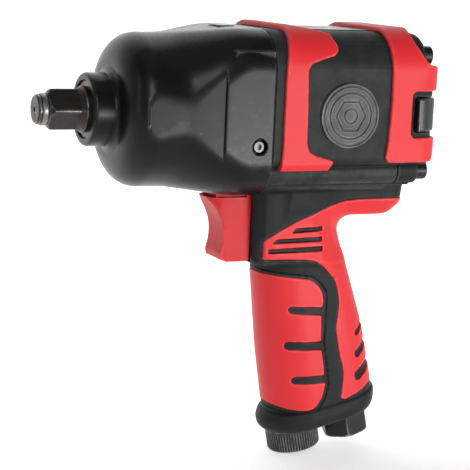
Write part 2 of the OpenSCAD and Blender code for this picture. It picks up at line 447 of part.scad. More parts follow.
module exhaust_tube() color(gunmetal) H() translate([t_ex, 0, 0]) difference() {
  translate([0, 0, -52]) cylinder(r = 7.5, h = 20.3);
  translate([0, 0, -53]) cylinder(r = 6, h = 24);
  translate([0, 0, -51.5]) difference() { cylinder(r = 9, h = 0.9); translate([0, 0, -1]) cylinder(r = 6.9, h = 3); }
}
module exhaust_deflector() color(dark) H() translate([t_ex, 0, 0]) difference() {
  translate([0, 0, -53.6]) cylinder(r = deflector_r, h = 10, $fn = 72);
  translate([0, 0, -54]) cylinder(r = 7.58, h = 12);
  translate([0, 0, -54]) cylinder(r = 10.3, h = 8.4);
  for (i = [0:47]) rotate([0, 0, 7.5 * i]) translate([deflector_r + 0.15, 0, -54]) rotate([0, 0, 45]) translate([-0.45, -0.45, 0]) cube([0.9, 0.9, 9.4]);
}
module muffler_element() color([0.5, 0.48, 0.42]) H() translate([t_ex, 0, -50.2]) difference() { cylinder(r = 10.28, h = 4.5); translate([0, 0, -1]) cylinder(r = 7.9, h = 8); }
module exhaust_circlip() color(steel) H() translate([t_ex, 0, -51.4]) difference() {
  cylinder(r = 9.6, h = 0.7); translate([0, 0, -1]) cylinder(r = 6.95, h = 3); translate([0, -1.2, -1]) cube([12, 2.4, 3]);
}

anvil();
socket_retaining_ring();
retaining_ring_o_ring();
anvil_bushing();
hammer_case();
grease_plug();
hammer_cage();
front_hammer();
rear_hammer();
hammer_pins();
case_gasket();
front_end_plate();
front_bearing_outer_race();
front_bearing_inner_race();
front_bearing_balls();
motor_cylinder();
cylinder_dowel_pin();
rotor();
rotor_vanes();
rear_end_plate();
rear_bearing_outer_race();
rear_bearing_inner_race();
rear_bearing_balls();
motor_housing();
rear_gasket();
rear_cover();
housing_bolts();
bolt_washers();
reverse_valve_spool();
reverse_buttons();
spool_o_rings();
front_bumper();
rear_bumper();
upper_grip_panel();
front_grip_panel();
side_badges();
rating_plate();
case_plate();
trigger();
trigger_rod();
trigger_bushing();
trigger_rod_seal();
throttle_valve();
throttle_valve_seat();
throttle_spring();
throttle_spring_seat();
inlet_screen();
inlet_bushing();
inlet_washer();
exhaust_tube();
exhaust_deflector();
muffler_element();
exhaust_circlip();
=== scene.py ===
import json
import math
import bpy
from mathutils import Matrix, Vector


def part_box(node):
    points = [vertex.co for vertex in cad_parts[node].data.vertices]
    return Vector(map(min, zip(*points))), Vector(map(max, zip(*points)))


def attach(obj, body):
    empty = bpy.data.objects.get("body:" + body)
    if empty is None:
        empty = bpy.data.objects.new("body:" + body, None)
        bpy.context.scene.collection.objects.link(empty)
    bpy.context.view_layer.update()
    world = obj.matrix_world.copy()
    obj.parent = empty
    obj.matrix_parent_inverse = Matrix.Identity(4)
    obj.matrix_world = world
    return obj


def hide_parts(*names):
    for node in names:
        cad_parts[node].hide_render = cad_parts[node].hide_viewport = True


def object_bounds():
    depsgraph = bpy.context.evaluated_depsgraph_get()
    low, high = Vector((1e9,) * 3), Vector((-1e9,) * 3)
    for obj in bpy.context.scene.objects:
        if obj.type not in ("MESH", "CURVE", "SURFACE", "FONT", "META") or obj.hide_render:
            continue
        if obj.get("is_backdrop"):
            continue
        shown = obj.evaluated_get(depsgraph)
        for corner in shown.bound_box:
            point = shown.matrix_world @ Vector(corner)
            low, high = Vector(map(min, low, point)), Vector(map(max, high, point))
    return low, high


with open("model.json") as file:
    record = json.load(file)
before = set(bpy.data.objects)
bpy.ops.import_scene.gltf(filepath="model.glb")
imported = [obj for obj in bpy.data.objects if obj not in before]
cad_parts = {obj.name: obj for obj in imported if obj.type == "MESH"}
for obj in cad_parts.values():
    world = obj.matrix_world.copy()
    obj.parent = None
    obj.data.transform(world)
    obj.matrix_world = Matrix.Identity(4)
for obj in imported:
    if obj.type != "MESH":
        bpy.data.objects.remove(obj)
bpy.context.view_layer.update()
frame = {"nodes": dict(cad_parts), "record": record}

from concurrent.futures import ThreadPoolExecutor

import bpy
import numpy as np
from mathutils import Matrix, Vector

VOX = 1.0
nodes = frame["nodes"]
collection = bpy.context.scene.collection

# ============================================================ fields
# Every moulded or cast piece is a signed distance field in millimetres, in the frame of the CAD model.
# Edges are rounded by the blend radius of each cut or joint, and the zero surface is meshed below.


def hyp(a, b):
    return np.sqrt(a * a + b * b)


def pos(a):
    return np.maximum(a, 0.0)


def inter(a, b, r=0.0):
    if not np.isscalar(r) or r:
        return np.minimum(np.maximum(a, b), -r) + hyp(pos(a + r), pos(b + r))
    return np.maximum(a, b)


def union(a, b, r=0.0):
    if not np.isscalar(r) or r:
        return np.maximum(np.minimum(a, b), r) - hyp(pos(r - a), pos(r - b))
    return np.minimum(a, b)


def cut(a, b, r=0.0):
    return inter(a, -b, r)


def slab(v, lo, hi):
    return np.maximum(lo - v, v - hi)


def rbox(a, b, ha, hb, r):
    qa, qb = np.abs(a) - ha + r, np.abs(b) - hb + r
    return np.minimum(np.maximum(qa, qb), 0.0) + hyp(pos(qa), pos(qb)) - r


def cyl(a, b, ca, cb, r):
    return hyp(a - ca, b - cb) - r


def poly_distance(pts, a, b):
    """Signed distance to a closed polygon."""
    p = np.asarray(pts, float)
    d2 = np.full(np.shape(a), 1e9)
    inside = np.zeros(np.shape(a), bool)
    for i in range(len(p)):
        (x0, y0), (x1, y1) = p[i - 1], p[i]
        ex, ey = x1 - x0, y1 - y0
        n = ex * ex + ey * ey
        if n < 1e-12:
            continue
        t = np.clip(((a - x0) * ex + (b - y0) * ey) / n, 0, 1)
        d2 = np.minimum(d2, (a - x0 - t * ex) ** 2 + (b - y0 - t * ey) ** 2)
        if y0 != y1:
            c = ((y0 > b) != (y1 > b)) & (a < x0 + (b - y0) * ex / ey)
            inside ^= c
    return np.where(inside, -1.0, 1.0) * np.sqrt(d2)


def line_distance(pts, a, b):
    """Distance to an open polyline."""
    p = np.asarray(pts, float)
    d2 = np.full(np.shape(a), 1e9)
    for (x0, y0), (x1, y1) in zip(p[:-1], p[1:]):
        ex, ey = x1 - x0, y1 - y0
        t = np.clip(((a - x0) * ex + (b - y0) * ey) / (ex * ex + ey * ey), 0, 1)
        d2 = np.minimum(d2, (a - x0 - t * ex) ** 2 + (b - y0 - t * ey) ** 2)
    return np.sqrt(d2)


def arc(cx, cy, r, a0, a1, n):
    return [(cx + r * math.cos(math.radians(a0 + (a1 - a0) * i / n)), cy + r * math.sin(math.radians(a0 + (a1 - a0) * i / n))) for i in range(n + 1)]


def soft(pts, r, n=5, closed=True):
    """The polygon with each corner turned into an arc of radius r, or as large as its sides allow."""
    p = np.asarray(pts, float)
    out = []
    k = len(p)
    for i in range(k):
        if not closed and i in (0, k - 1):
            out.append(tuple(p[i]))
            continue
        a, b, c = p[i - 1], p[i], p[(i + 1) % k]
        u, v = a - b, c - b
        lu, lv = np.linalg.norm(u), np.linalg.norm(v)
        u, v = u / lu, v / lv
        ang = math.acos(max(-1, min(1, float(u @ v))))
        if ang > 3.05:
            out.append(tuple(b))
            continue
        t = min(r / math.tan(ang / 2), 0.49 * lu, 0.49 * lv)
        for j in range(n + 1):
            w = j / n
            out.append(tuple((1 - w) ** 2 * (b + u * t) + 2 * w * (1 - w) * b + w * w * (b + v * t)))
    return out


def smooth_line(pts, n=6):
    """Catmull-Rom curve through the points."""
    p = np.asarray(pts, float)
    q = np.vstack([2 * p[0] - p[1], p, 2 * p[-1] - p[-2]])
    out = []
    for i in range(1, len(q) - 2):
        for j in range(n):
            t = j / n
            out.append(tuple(0.5 * (2 * q[i] + (q[i + 1] - q[i - 1]) * t + (2 * q[i - 1] - 5 * q[i] + 4 * q[i + 1] - q[i + 2]) * t * t
                                    + (3 * q[i] - q[i - 1] - 3 * q[i + 1] + q[i + 2]) * t ** 3)))
    out.append(tuple(p[-1]))
    return out


class Map2:
    """A 2D field stored on a fine grid and read back between its points."""

    def __init__(self, fn, lo, hi, step=0.2):
        self.lo, self.step = lo, step
        self.n = [int(math.ceil((hi[i] - lo[i]) / step)) + 1 for i in (0, 1)]
        a = lo[0] + step * np.arange(self.n[0])
        b = lo[1] + step * np.arange(self.n[1])
        A, B = np.meshgrid(a, b, indexing="ij")
        self.v = fn(A, B).ravel()

    def __call__(self, a, b):
        u = np.clip((a - self.lo[0]) / self.step, 0, self.n[0] - 1.001)
        v = np.clip((b - self.lo[1]) / self.step, 0, self.n[1] - 1.001)
        i, j = u.astype(np.int32), v.astype(np.int32)
        fu, fv = u - i, v - j
        k = i * self.n[1] + j
        g = self.v
        return (g[k] * (1 - fv) + g[k + 1] * fv) * (1 - fu) + (g[k + self.n[1]] * (1 - fv) + g[k + self.n[1] + 1] * fv) * fu


def region(pts, r=0.0, step=0.2, pad=6):
    q = soft(pts, r) if r else pts
    p = np.asarray(q, float)
    lo, hi = p.min(0) - pad, p.max(0) + pad
    return Map2(lambda a, b: poly_distance(q, a, b), lo, hi, step)


# ============================================================ meshing
POOL = ThreadPoolExecutor(4)


def evaluate(f, P):
    chunks = [P[i:i + 60000] for i in range(0, len(P), 60000)]
    return np.concatenate(list(POOL.map(lambda c: f(c[:, 0], c[:, 1], c[:, 2]), chunks))) if chunks else np.zeros(0)


def gradient(f, P, e=0.12):
    g = np.empty_like(P)
    for a in range(3):
        d = np.zeros(3)
        d[a] = e
        g[:, a] = (evaluate(f, P + d) - evaluate(f, P - d)) / (2 * e)
    return g


def surface(f, lo, hi, h):
    """Vertices and quads of the zero surface of f, by surface nets on the grid cells near it."""
    K = 4
    H = h * K
    lo = np.asarray(lo, float) - 0.37 * h
    n = np.ceil((np.asarray(hi, float) - lo) / H).astype(int)
    ax = [lo[a] + H * np.arange(n[a] + 1) for a in range(3)]
    C = np.stack(np.meshgrid(*ax, indexing="ij"), -1).reshape(-1, 3)
    fc = evaluate(f, C).reshape(n + 1)
    m = np.abs(fc)
    near = np.minimum(m[:-1], m[1:])
    near = np.minimum(near[:, :-1], near[:, 1:])
    near = np.minimum(near[:, :, :-1], near[:, :, 1:]) < 1.35 * H
    N = n * K + 1
    s = (fc > 0)
    F = np.full(N, 9.0, np.float32)
    core = s[:-1, :-1, :-1].repeat(K, 0).repeat(K, 1).repeat(K, 2)
    F[:-1, :-1, :-1] = np.where(core, 9.0, -9.0)
    del core
    rep = near.repeat(K, 0).repeat(K, 1).repeat(K, 2)
    M = np.zeros(N, bool)
    for dx in (0, 1):
        for dy in (0, 1):
            for dz in (0, 1):
                M[dx:dx + n[0] * K, dy:dy + n[1] * K, dz:dz + n[2] * K] |= rep
    del rep
    idx = np.flatnonzero(M)
    del M
    i, j, k = np.unravel_index(idx, N)
    F.ravel()[idx] = evaluate(f, np.stack([lo[0] + h * i, lo[1] + h * j, lo[2] + h * k], 1))
    S = F < 0
    ids, pts, flips = [], [], []
    cs = (N[1] - 1) * (N[2] - 1), N[2] - 1, 1
    for a in range(3):
        sl0 = [slice(None)] * 3
        sl1 = [slice(None)] * 3
        sl0[a], sl1[a] = slice(None, -1), slice(1, None)
        e = np.flatnonzero((S[tuple(sl0)] != S[tuple(sl1)]).ravel())
        shape = list(N)
        shape[a] -= 1
        q = np.stack(np.unravel_index(e, shape), 1)
        q1 = q.copy()
        q1[:, a] += 1
        f0, f1 = F[q[:, 0], q[:, 1], q[:, 2]].astype(float), F[q1[:, 0], q1[:, 1], q1[:, 2]].astype(float)
        p = lo + h * q
        p[:, a] += h * f0 / (f0 - f1)
        b, c = (a + 1) % 3, (a + 2) % 3
        base = q[:, 0] * cs[0] + q[:, 1] * cs[1] + q[:, 2]
        four = np.stack([base - cs[b] - cs[c], base - cs[c], base, base - cs[b]], 1)
        ids.append(four)
        pts.append(np.repeat(p[:, None], 4, 1))
        flips.append(f0 > 0)
    ids, pts, flips = np.concatenate(ids), np.concatenate(pts), np.concatenate(flips)
    uniq, inv = np.unique(ids.ravel(), return_inverse=True)
    inv = inv.reshape(-1)
    cnt = np.bincount(inv)
    P = pts.reshape(-1, 3)
    V = np.stack([np.bincount(inv, weights=P[:, c]) / cnt for c in range(3)], 1)
    Q = inv.reshape(-1, 4)
    Q[flips] = Q[flips][:, ::-1]
    return V, Q


def settle(f, V, limit, rounds=2):
    for _ in range(rounds):
        d = evaluate(f, V)
        g = gradient(f, V)
        n2 = np.maximum((g * g).sum(1), 0.25)
        step = -(d / n2)[:, None] * g
        ln = np.linalg.norm(step, axis=1)
        V = V + step * np.minimum(1, limit / np.maximum(ln, 1e-9))[:, None]
    return V


def tag_mesh(o):
    """Stores how convex the surface is at each vertex, smoothed, as the attribute edge (0.5 is flat)."""
    me = o.data
    nv = len(me.vertices)
    co = np.zeros(nv * 3, np.float32)
    me.vertices.foreach_get("co", co)
    co = co.reshape(-1, 3).astype(float) * 1000
    no = np.zeros(nv * 3, np.float32)
    me.vertices.foreach_get("normal", no)
    no = no.reshape(-1, 3).astype(float)
    ed = np.zeros(len(me.edges) * 2, np.int32)
    me.edges.foreach_get("vertices", ed)
    ed = ed.reshape(-1, 2)
    i, j = ed[:, 0], ed[:, 1]
    dp = co[j] - co[i]
    c = ((no[j] - no[i]) * dp).sum(1) / np.maximum((dp * dp).sum(1), 1e-6)
    acc = np.bincount(i, c, nv) + np.bincount(j, c, nv)
    deg = np.maximum(np.bincount(i, minlength=nv) + np.bincount(j, minlength=nv), 1)
    k = acc / deg
    for _ in range(3):
        k = 0.5 * k + 0.5 * (np.bincount(i, k[j], nv) + np.bincount(j, k[i], nv)) / deg
    v = np.clip(0.5 + 0.5 * k, 0, 1).astype(np.float32)
    at = me.attributes.new("edge", "FLOAT", "POINT")
    at.data.foreach_set("value", v)


def moulded(name, f, lo, hi, h, limit=190000):
    """A mesh object of the field f, in metres, with normals taken from the field itself."""
    h = h * VOX
    V, Q = surface(f, lo, hi, h)
    V = settle(f, V, 0.7 * h)
    me = bpy.data.meshes.new(name)
    me.vertices.add(len(V))
    me.vertices.foreach_set("co", (V * 0.001).astype(np.float32).ravel())
    me.loops.add(Q.size)
    me.loops.foreach_set("vertex_index", Q.astype(np.int32).ravel())
    me.polygons.add(len(Q))
    me.polygons.foreach_set("loop_start", np.arange(0, Q.size, 4, dtype=np.int32))
    me.polygons.foreach_set("loop_total", np.full(len(Q), 4, np.int32))
    me.update(calc_edges=True)
    o = bpy.data.objects.new(name, me)
    collection.objects.link(o)
    if 2 * len(Q) > limit:
        d = o.modifiers.new("thin", "DECIMATE")
        d.ratio = limit / (2 * len(Q)) * 0.985
        dg = bpy.context.evaluated_depsgraph_get()
        thin = bpy.data.meshes.new_from_object(o.evaluated_get(dg))
        o.modifiers.clear()
        o.data = thin
        bpy.data.meshes.remove(me)
        me = thin
        me.name = name
        co = np.zeros(len(me.vertices) * 3, np.float32)
        me.vertices.foreach_get("co", co)
        V = settle(f, co.reshape(-1, 3).astype(float) * 1000, 0.3 * h, 1)
        me.vertices.foreach_set("co", (V * 0.001).astype(np.float32).ravel())
        me.update()
    me.polygons.foreach_set("use_smooth", np.ones(len(me.polygons), bool))
    g = gradient(f, V, 0.1)
    g /= np.maximum(np.linalg.norm(g, axis=1), 1e-9)[:, None]
    tag_mesh(o)
    me.normals_split_custom_set_from_vertices(g.tolist())
    return o


# ============================================================ shapes
CL, SL = math.cos(math.radians(12)), math.sin(math.radians(12))
T_IN, T_EX = -10.6, 15.6
BOLTS = [(24.5, 25.6), (-24.5, 25.6), (25.5, -23.6), (-25.5, -23.6)]
X_HEAD = -162.8


def to_handle(x, z):
    dx, dz = x + 129.0, z + 95.0
    return dx * CL - dz * SL, dx * SL + dz * CL


def sec(y, z, hy, zt, zb, rt, rb):
    zm, h = 0.5 * (zt + zb), 0.5 * (zt - zb)
    r = np.where(z > zm, rt, rb)
    qa, qb = np.abs(y) - hy + r, np.abs(z - zm) - h + r
    return np.minimum(np.maximum(qa, qb), 0.0) + hyp(pos(qa), pos(qb)) - r


def table(xs, ys, width=2.0):
    """Piecewise linear table, with its corners smoothed over the width."""
    g = np.linspace(xs[0] - 8, xs[-1] + 8, 600)
    v = np.interp(g, xs, ys)
    v0 = ys[0] + (g - xs[0]) * (ys[1] - ys[0]) / (xs[1] - xs[0])
    v1 = ys[-1] + (g - xs[-1]) * (ys[-1] - ys[-2]) / (xs[-1] - xs[-2])
    v = np.where(g < xs[0], v0, np.where(g > xs[-1], v1, v))
    k = max(1, int(width / (g[1] - g[0])))
    pad = np.pad(v, k, mode="reflect", reflect_type="odd")
    v = np.convolve(pad, np.ones(2 * k + 1) / (2 * k + 1), "valid")
    return lambda a: np.interp(a, g, v)


def step(a, lo, hi):
    t = np.clip((a - lo) / (hi - lo), 0, 1)
    return t * t * (3 - 2 * t)


# ---- nose and case
def dome_pts(n=26):
    out = []
    for i in range(n + 1):
        a = math.radians(88 - 86 * i / n)
        out.append((17.2 + 14.75 * math.cos(a) ** 0.87, -43.6 + 12.4 * math.sin(a) ** 0.9))
    return out


NOSE = [(0, -20.7)] + [(13.8, -20.7)] + arc(13.8, -22, 1.3, 90, 0, 8)[1:] + [(15.1, -29)] + arc(16.9, -29, 1.8, 180, 250, 8) + dome_pts() + [(31.95, -45), (31.95, -60), (0, -60)]
nose_map = Map2(lambda a, b: poly_distance(NOSE, a, b), (-1, -64), (46, -14), 0.15)
# tables need rising stations
def rising(xs, ys, w):
    return table(list(reversed(xs)), list(reversed(ys)), w)


case_zt = rising([-45, -54, -79, -92], [31.95, 32.1, 35.3, 35.3], 5)
case_zb = rising([-45, -54, -79, -92], [-31.95, -31.8, -33.9, -33.9], 5)
case_hy = rising([-45, -54, -69.5, -92], [31.95, 32.0, 34.4, 34.4], 3)
case_rt = rising([-45, -54, -79, -92], [31.8, 31.0, 17, 17], 3)
case_rb = rising([-45, -54, -79, -92], [31.8, 31.0, 16, 16], 3)


def f_case(x, y, z):
    r = hyp(y, z)
    ay = np.abs(y)
    nose = nose_map(r, x)
    body = sec(y, z, case_hy(x), case_zt(x), case_zb(x), case_rt(x), case_rb(x))
    w = step(x, -52, -43.5)
    d = nose * w + body * (1 - w)
    # side pockets in front of the lands
    d = cut(d, np.maximum(31.15 + 0.098 * (-47 - x) - ay, slab(x, -69.3, -38)), 0.55)
    # rails along the rear corners
    low = inter(inter(ay - (32.5 + 1.3 * (-74.4 - x) / 16.6), slab(z, -23.3, -8), 0.35), x + 73.4, 0.9)
    top = inter(inter(ay - (31.9 + 1.6 * (-74.4 - x) / 16.6), slab(z, 14, 27), 0.35), x + 73.4, 0.9)
    rails = np.maximum(np.minimum(low, top), 20 - ay)
    d = union(d, rails, 0.25)
    d = inter(d, -91.0 - x, 0.5)
    d = cut(d, np.maximum(r - 12.02, -x - 43), 0.3)
    d = cut(d, np.maximum(r - 27.4, x + 42.5), 0.6)
    d = cut(d, np.maximum(rbox(x + 82.75, y, 9.25, 12.5, 2.0), z + 32.3), 0.6)
    for b in BOLTS:
        d = np.maximum(d, -np.maximum(hyp(y - b[0], z - b[1]) - 2.55, x + 75))
    g = hyp(x + 85, z + 12)
    d = cut(d, np.maximum(g - 3.2, 31.2 - y), 0.35)
    d = np.maximum(d, -np.maximum(g - 2.0, 20 - y))
    return d


# ---- handle
g_t0 = table([-43, -5, 34], [-25.3, -24.2, -19.5], 4)
g_t1 = table([-43, -5, 34], [27.4, 25.8, 22.3], 4)
g_w = table([-43, -5, 34], [17.5, 17.5, 15.5], 4)
NECK_F = soft([(0, -60), (0, -5.2), (-1.2, -3.6), (-4.2, -0.6), (-8, 0), (-60, 0), (-60, -60)], 2.5)
NECK_R = soft([(60, -60), (60, 0), (17, 0), (8, -3.5), (2.6, -8.2), (0, -16.7), (0, -60)], 8)
neck_f = Map2(lambda a, b: poly_distance(NECK_F, a, b), (-58, -30), (14, 12), 0.2)
neck_r = Map2(lambda a, b: poly_distance(NECK_R, a, b), (-14, -30), (58, 12), 0.2)
tail_x = table([-46, -40, -31], [-163.2, -167.7, -168.4], 1.3)
tail_w = table([-46, -40, -31], [9.6, 13.3, 14], 1.5)


def f_grip(x, y, z):
    t, s = to_handle(x, z)
    t0, t1, w = g_t0(s), g_t1(s), g_w(s)
    d = hyp(pos(np.abs(t - 0.5 * (t0 + t1)) - (0.5 * (t1 - t0) - w)), y) - w
    return np.maximum(d, slab(s, -40, 34.4)), d, t, s


def f_handle(x, y, z):
    ay = np.abs(y)
    g, gd, t, s = f_grip(x, y, z)
    u = np.clip((-31 - z) / 34.4, -0.2, 1.1)
    x0, xr, w = -93.4 - 1.2 * u, -132.5 - 11.1 * u, 17 - 0.6 * u
    nk = np.maximum(neck_f(x - x0, ay - w), neck_r(x - xr, ay - w))
    nk = inter(nk, slab(z, -65.8, -24), 1.6)
    gt = inter(gd + 0.075 * pos(s - 25) ** 1.5 * step(-120 - x, 0, 8), slab(s, -40, 38), 2.0)
    d = union(gt, nk, 2.0)
    rr, ss, bb = tail_x(z) - x, ay - tail_w(z), -45.8 - z
    tl = inter(inter(rr, ss, 7), bb, 2.2)
    tl = np.maximum(tl, np.maximum(x + 113, z + 22))
    return union(d, tl, 8.5), t, s


def f_base(x, y, z, t, s):
    t0, t1, w = b_t0(s), b_t1(s), b_w(s)
    d = hyp(pos(np.abs(t - 0.5 * (t0 + t1)) - (0.5 * (t1 - t0) - w)), y) - w
    return inter(d, slab(s, -43.2, -34.4), 1.1)


b_t0 = table([-43.2, -41, -38.2, -34.4], [-22.6, -24.4, -25.4, -26], 0.8)
b_t1 = table([-43.2, -41, -38.2, -34.4], [28.6, 30.2, 30.4, 28.6], 0.8)
b_w = table([-43.2, -41, -38.2, -34.4], [17.2, 18.4, 18.6, 17.8], 0.8)

def curve_poly(pts, sharp):
    """Closed outline through the points: curved, except at the sharp ones."""
    p = [tuple(q) for q in pts]
    k = next(i for i, q in enumerate(p) if q in sharp)
    p = p[k:] + p[:k] + [p[k]]
    out, run = [], [p[0]]
    for q in p[1:]:
        run.append(q)
        if q in sharp:
            out += smooth_line(run, 5)[:-1] if len(run) > 2 else [run[0]]
            run = [q]
    return out


UP = [(-176, -38.1), (-144.2, -38.0), (-131.2, -39.9), (-119.9, -43.7), (-109.3, -48.1), (-99.4, -53.6), (-98.0, -55.0),
      (-98.0, -62.7), (-118.2, -63.4), (-125.1, -65.5), (-129.6, -69.4), (-133.3, -73.8), (-135.1, -80.2), (-135.4, -84), (-134.5, -91.3),
      (-134.3, -95.8), (-136.4, -105.4), (-138.7, -113.3), (-138.9, -122.2), (-138.4, -126.2), (-140.6, -127), (-155.8, -120.6), (-176, -112)]
FR = [(-84, -64.6), (-92.2, -66.9), (-98.9, -69.8), (-117.2, -71.8), (-122.6, -73.3), (-126.3, -77.1), (-127.7, -81.6),
      (-127, -84.8), (-113.2, -83.95), (-112, -84.4), (-111.5, -85.5), (-111.9, -86.6), (-113, -87.1), (-127, -88.2),
      (-127.1, -99.9), (-112.6, -99.8), (-111.4, -100.4), (-110.9, -101.6), (-111.4, -102.85), (-112.6, -103.4), (-127.6, -103.5),
      (-129.7, -115.2), (-116.6, -115.5), (-115.4, -116.1), (-114.8, -117.25), (-115.3, -118.4), (-116.5, -118.9), (-130.2, -118.6),
      (-130.3, -119.7), (-128.6, -126), (-124, -130.7), (-112.2, -130.4), (-99.5, -126.8), (-84, -123)]
FR_OUT = [p for p in FR if not (p[0] > -126 and -119 < p[1] < -83.9) and p not in ((-127, -84.8), (-127, -88.2))]
SHARP = {(-99.4, -53.6), (-98.0, -55.0), (-98.0, -62.7), (-138.4, -126.2), (-140.6, -127), (-155.8, -120.6), (-176, -112), (-176, -38.1)}
up_map = region(curve_poly(UP, SHARP), 0.7)
FR_SHARP = {p for p in FR if p[0] > -127.65 and -119 < p[1] < -83.9} | {(-84, -64.6), (-92.2, -66.9), (-84, -123), (-129.7, -115.2), (-130.2, -118.6)}
fr_map = region(curve_poly(FR, FR_SHARP), 1.0)
fo_map = region(curve_poly(FR_OUT, {(-84, -64.6), (-84, -123)}), 0)
LOUV = [[(-112.6, -49.4), (-126.1, -49.0), (-125.8, -51.0), (-110.3, -51.6)], [(-103.6, -54.0), (-125.9, -53.4), (-125.7, -55.6), (-101.2, -55.9)],
        [(-99.9, -58.2), (-126.1, -57.6), (-126.2, -59.9), (-100, -60.2)]]
SLOTS = []
for cx, cz, hw, hl in [(-148.5, -96.0, 1.35, 4.2), (-149.9, -104.6, 1.85, 5.8), (-150.8, -114.2, 2.25, 6.6)]:
    ca, sa = math.cos(math.radians(-31)), math.sin(math.radians(-31))
    SLOTS.append([(cx + ca * u - sa * v, cz + sa * u + ca * v) for u, v in [(-14, -hw), (hl, -hw), (hl, hw), (-14, hw)]])


def slots_fn(a, b):
    d = np.full(np.shape(a), 1e3)
    for q in LOUV:
        d = np.minimum(d, poly_distance(soft(q, 0.6), a, b))
    for q in SLOTS:
        d = np.minimum(d, poly_distance(soft(q, 0.93 * math.dist(q[0], q[3]) / 2), a, b))
    return d


cuts_map = Map2(slots_fn, (-176, -126), (-92, -42), 0.15)


def f_upper_panel(x, y, z):
    h, t, s = f_handle(x, y, z)
    d = inter(h, up_map(x, z), 0.55)
    d = cut(d, cuts_map(x, z), 0.35)
    d = np.maximum(d, -(h + 1.62))
    d = np.maximum(d, -34.3 - s)
    return np.maximum(d, -np.maximum(np.maximum(np.abs(y) - 9.1, z + 26.9), -101 - x))


def f_front_panel(x, y, z):
    g, gd, t, s = f_grip(x, y, z)
    h, t, s = f_handle(x, y, z)
    d = inter(h, fr_map(x, z), 0.6)
    d = np.maximum(d, -(h + 1.62))
    d = np.maximum(d, -33.9 - s)
    return d


def f_belly(y, z):
    ay = np.abs(y)
    return union(np.minimum(sec(y, z, 24, 0, -33.5, 2, 8), rbox(y, z + 27.8, 27.5, 2.0, 0.7)), cyl(ay, z, 25.5, -23.6, 5.6), 0.5)


def f_housing(x, y, z):
    ay = np.abs(y)
    r = hyp(y, z)
    ends = slab(x, -152, -91.6)
    barrel = inter(sec(y, z, 33.4, 35, -21, 16, 4), ends, 0.45)
    belly = inter(f_belly(y, z), ends, 0.35)
    d = union(barrel, belly, 0.4)
    h, t, s = f_handle(x, y, z)
    up, fr, fo = up_map(x, z), fr_map(x, z), fo_map(x, z)
    cuts = cuts_map(x, z)
    red = np.minimum(up, fr)
    black = inter(h + 0.25, -red, 0.35)
    core = h + 1.7
    floor = np.maximum(h + 0.95, cuts + 0.05)
    # thin part line around the front pad
    line = 0.34 - np.abs(fo - 1.55)
    black = np.where((fo > 0.4) & (fo < 3) & (x < -99), np.maximum(black, np.minimum(h + 0.25 + 0.45 * step(line, 0, 0.3), 9)), black)
    grip = np.minimum(np.minimum(black, core), floor)
    grip = np.maximum(grip, z + 27)
    d = union(d, grip, 1.2)
    d = union(d, f_base(x, y, z, t, s), 0.7)
    # bores and pockets
    d = np.maximum(d, -np.maximum(r - 26.5, ends - 3))
    for b in BOLTS:
        d = np.maximum(d, -(hyp(y - b[0], z - b[1]) - 2.8))
    d = np.maximum(d, x + 91.6)
    d = cut(d, np.maximum(np.maximum(ay - 9.1, slab(z, -64.9, -26.9)), -101 - x), 0.4)
    q = hyp(y, z + 51.5)
    d = np.maximum(d, -np.maximum(q - 4.52, slab(x, -121, -90)))
    d = np.maximum(d, -np.maximum(q - 2.6, slab(x, -130, -90)))
    ri = hyp(t - T_IN, y)
    d = cut(d, np.maximum(ri - 8.53, s + 27), 0.3)
    d = np.maximum(d, -np.maximum(ri - 6.52, s - 32.8))
    d = np.maximum(d, -np.maximum(hyp(t - T_IN + 1.5, y) - 8.6, slab(s, 30, 53)))
    re = hyp(t - T_EX, y)
    d = cut(d, np.maximum(re - 7.52, s + 31.7), 0.3)
    d = np.maximum(d, -np.maximum(re - 6, s - 72))
    return d


# ---- bands, cover, buttons
FB = [(-99.6, 44), (-98.8, 34), (-97, 28.5), (-95.8, 22), (-95.5, 15), (-95.5, 3.5), (-95.5, -12), (-94.9, -23.6), (-116.2, -22.7),
      (-119.3, -18.3), (-117.0, -17.4), (-111.6, -16.1), (-107.4, -14.1), (-106.3, -10.8), (-105.9, 5.8), (-105.3, 19.5),
      (-106.8, 22), (-112.2, 23.9), (-117.6, 25.4), (-119.6, 27.4), (-119.6, 30), (-118.4, 32.4), (-117, 44)]
RB = [(-144.6, 44), (-144.8, 30), (-145.2, 17), (-145.4, 5.7), (-144.8, -10), (-143.8, -17), (-145.5, -19.2), (-180, -19.2),
      (-180, -8.7), (-156.8, -8.7), (-155.3, -7.2), (-155.3, 9.5), (-156.8, 11), (-180, 11), (-180, 21.3), (-166.5, 21.6), (-163.8, 22.2),
      (-161.4, 24), (-159.2, 27.5), (-157.4, 31), (-156.8, 34), (-157.4, 36), (-160, 38), (-160, 44)]
fb_map = region(FB, 1.6)
rb_map = region(RB, 1.3)
fb_top = region([(-104, -20.5), (-104, 20.5), (-125, 30), (-125, -30)], 2.5)
PLAN = [(-70, 60), (-158, 60), (-158.01, 42), (-159.9, 35.1)] + arc(-159.9, 23.5, 11.6, 88, 178, 12) + [(-171.5, 0), (-171.5, -60), (-70, -60)]
SIDE = [(-70, 60), (-153, 60), (-153, 37.3), (-159, 37.2), (-163, 36.2), (-166.6, 34), (-169.4, 30.8), (-171.2, 26), (-171.5, 22), (-171.5, -14),
        (-169.5, -18.6), (-166, -22), (-164, -60), (-70, -60)]
plan_map = region(soft(PLAN, 3), 0, 0.2, 4)
side_map = region(soft(SIDE, 4), 0, 0.2, 4)


def f_round(x, y, z):
    return inter(plan_map(x, np.abs(y)), side_map(x, z), 2.0)


def f_barrel(y, z):
    return sec(y, z, 33.4, 35, -21, 16, 4)


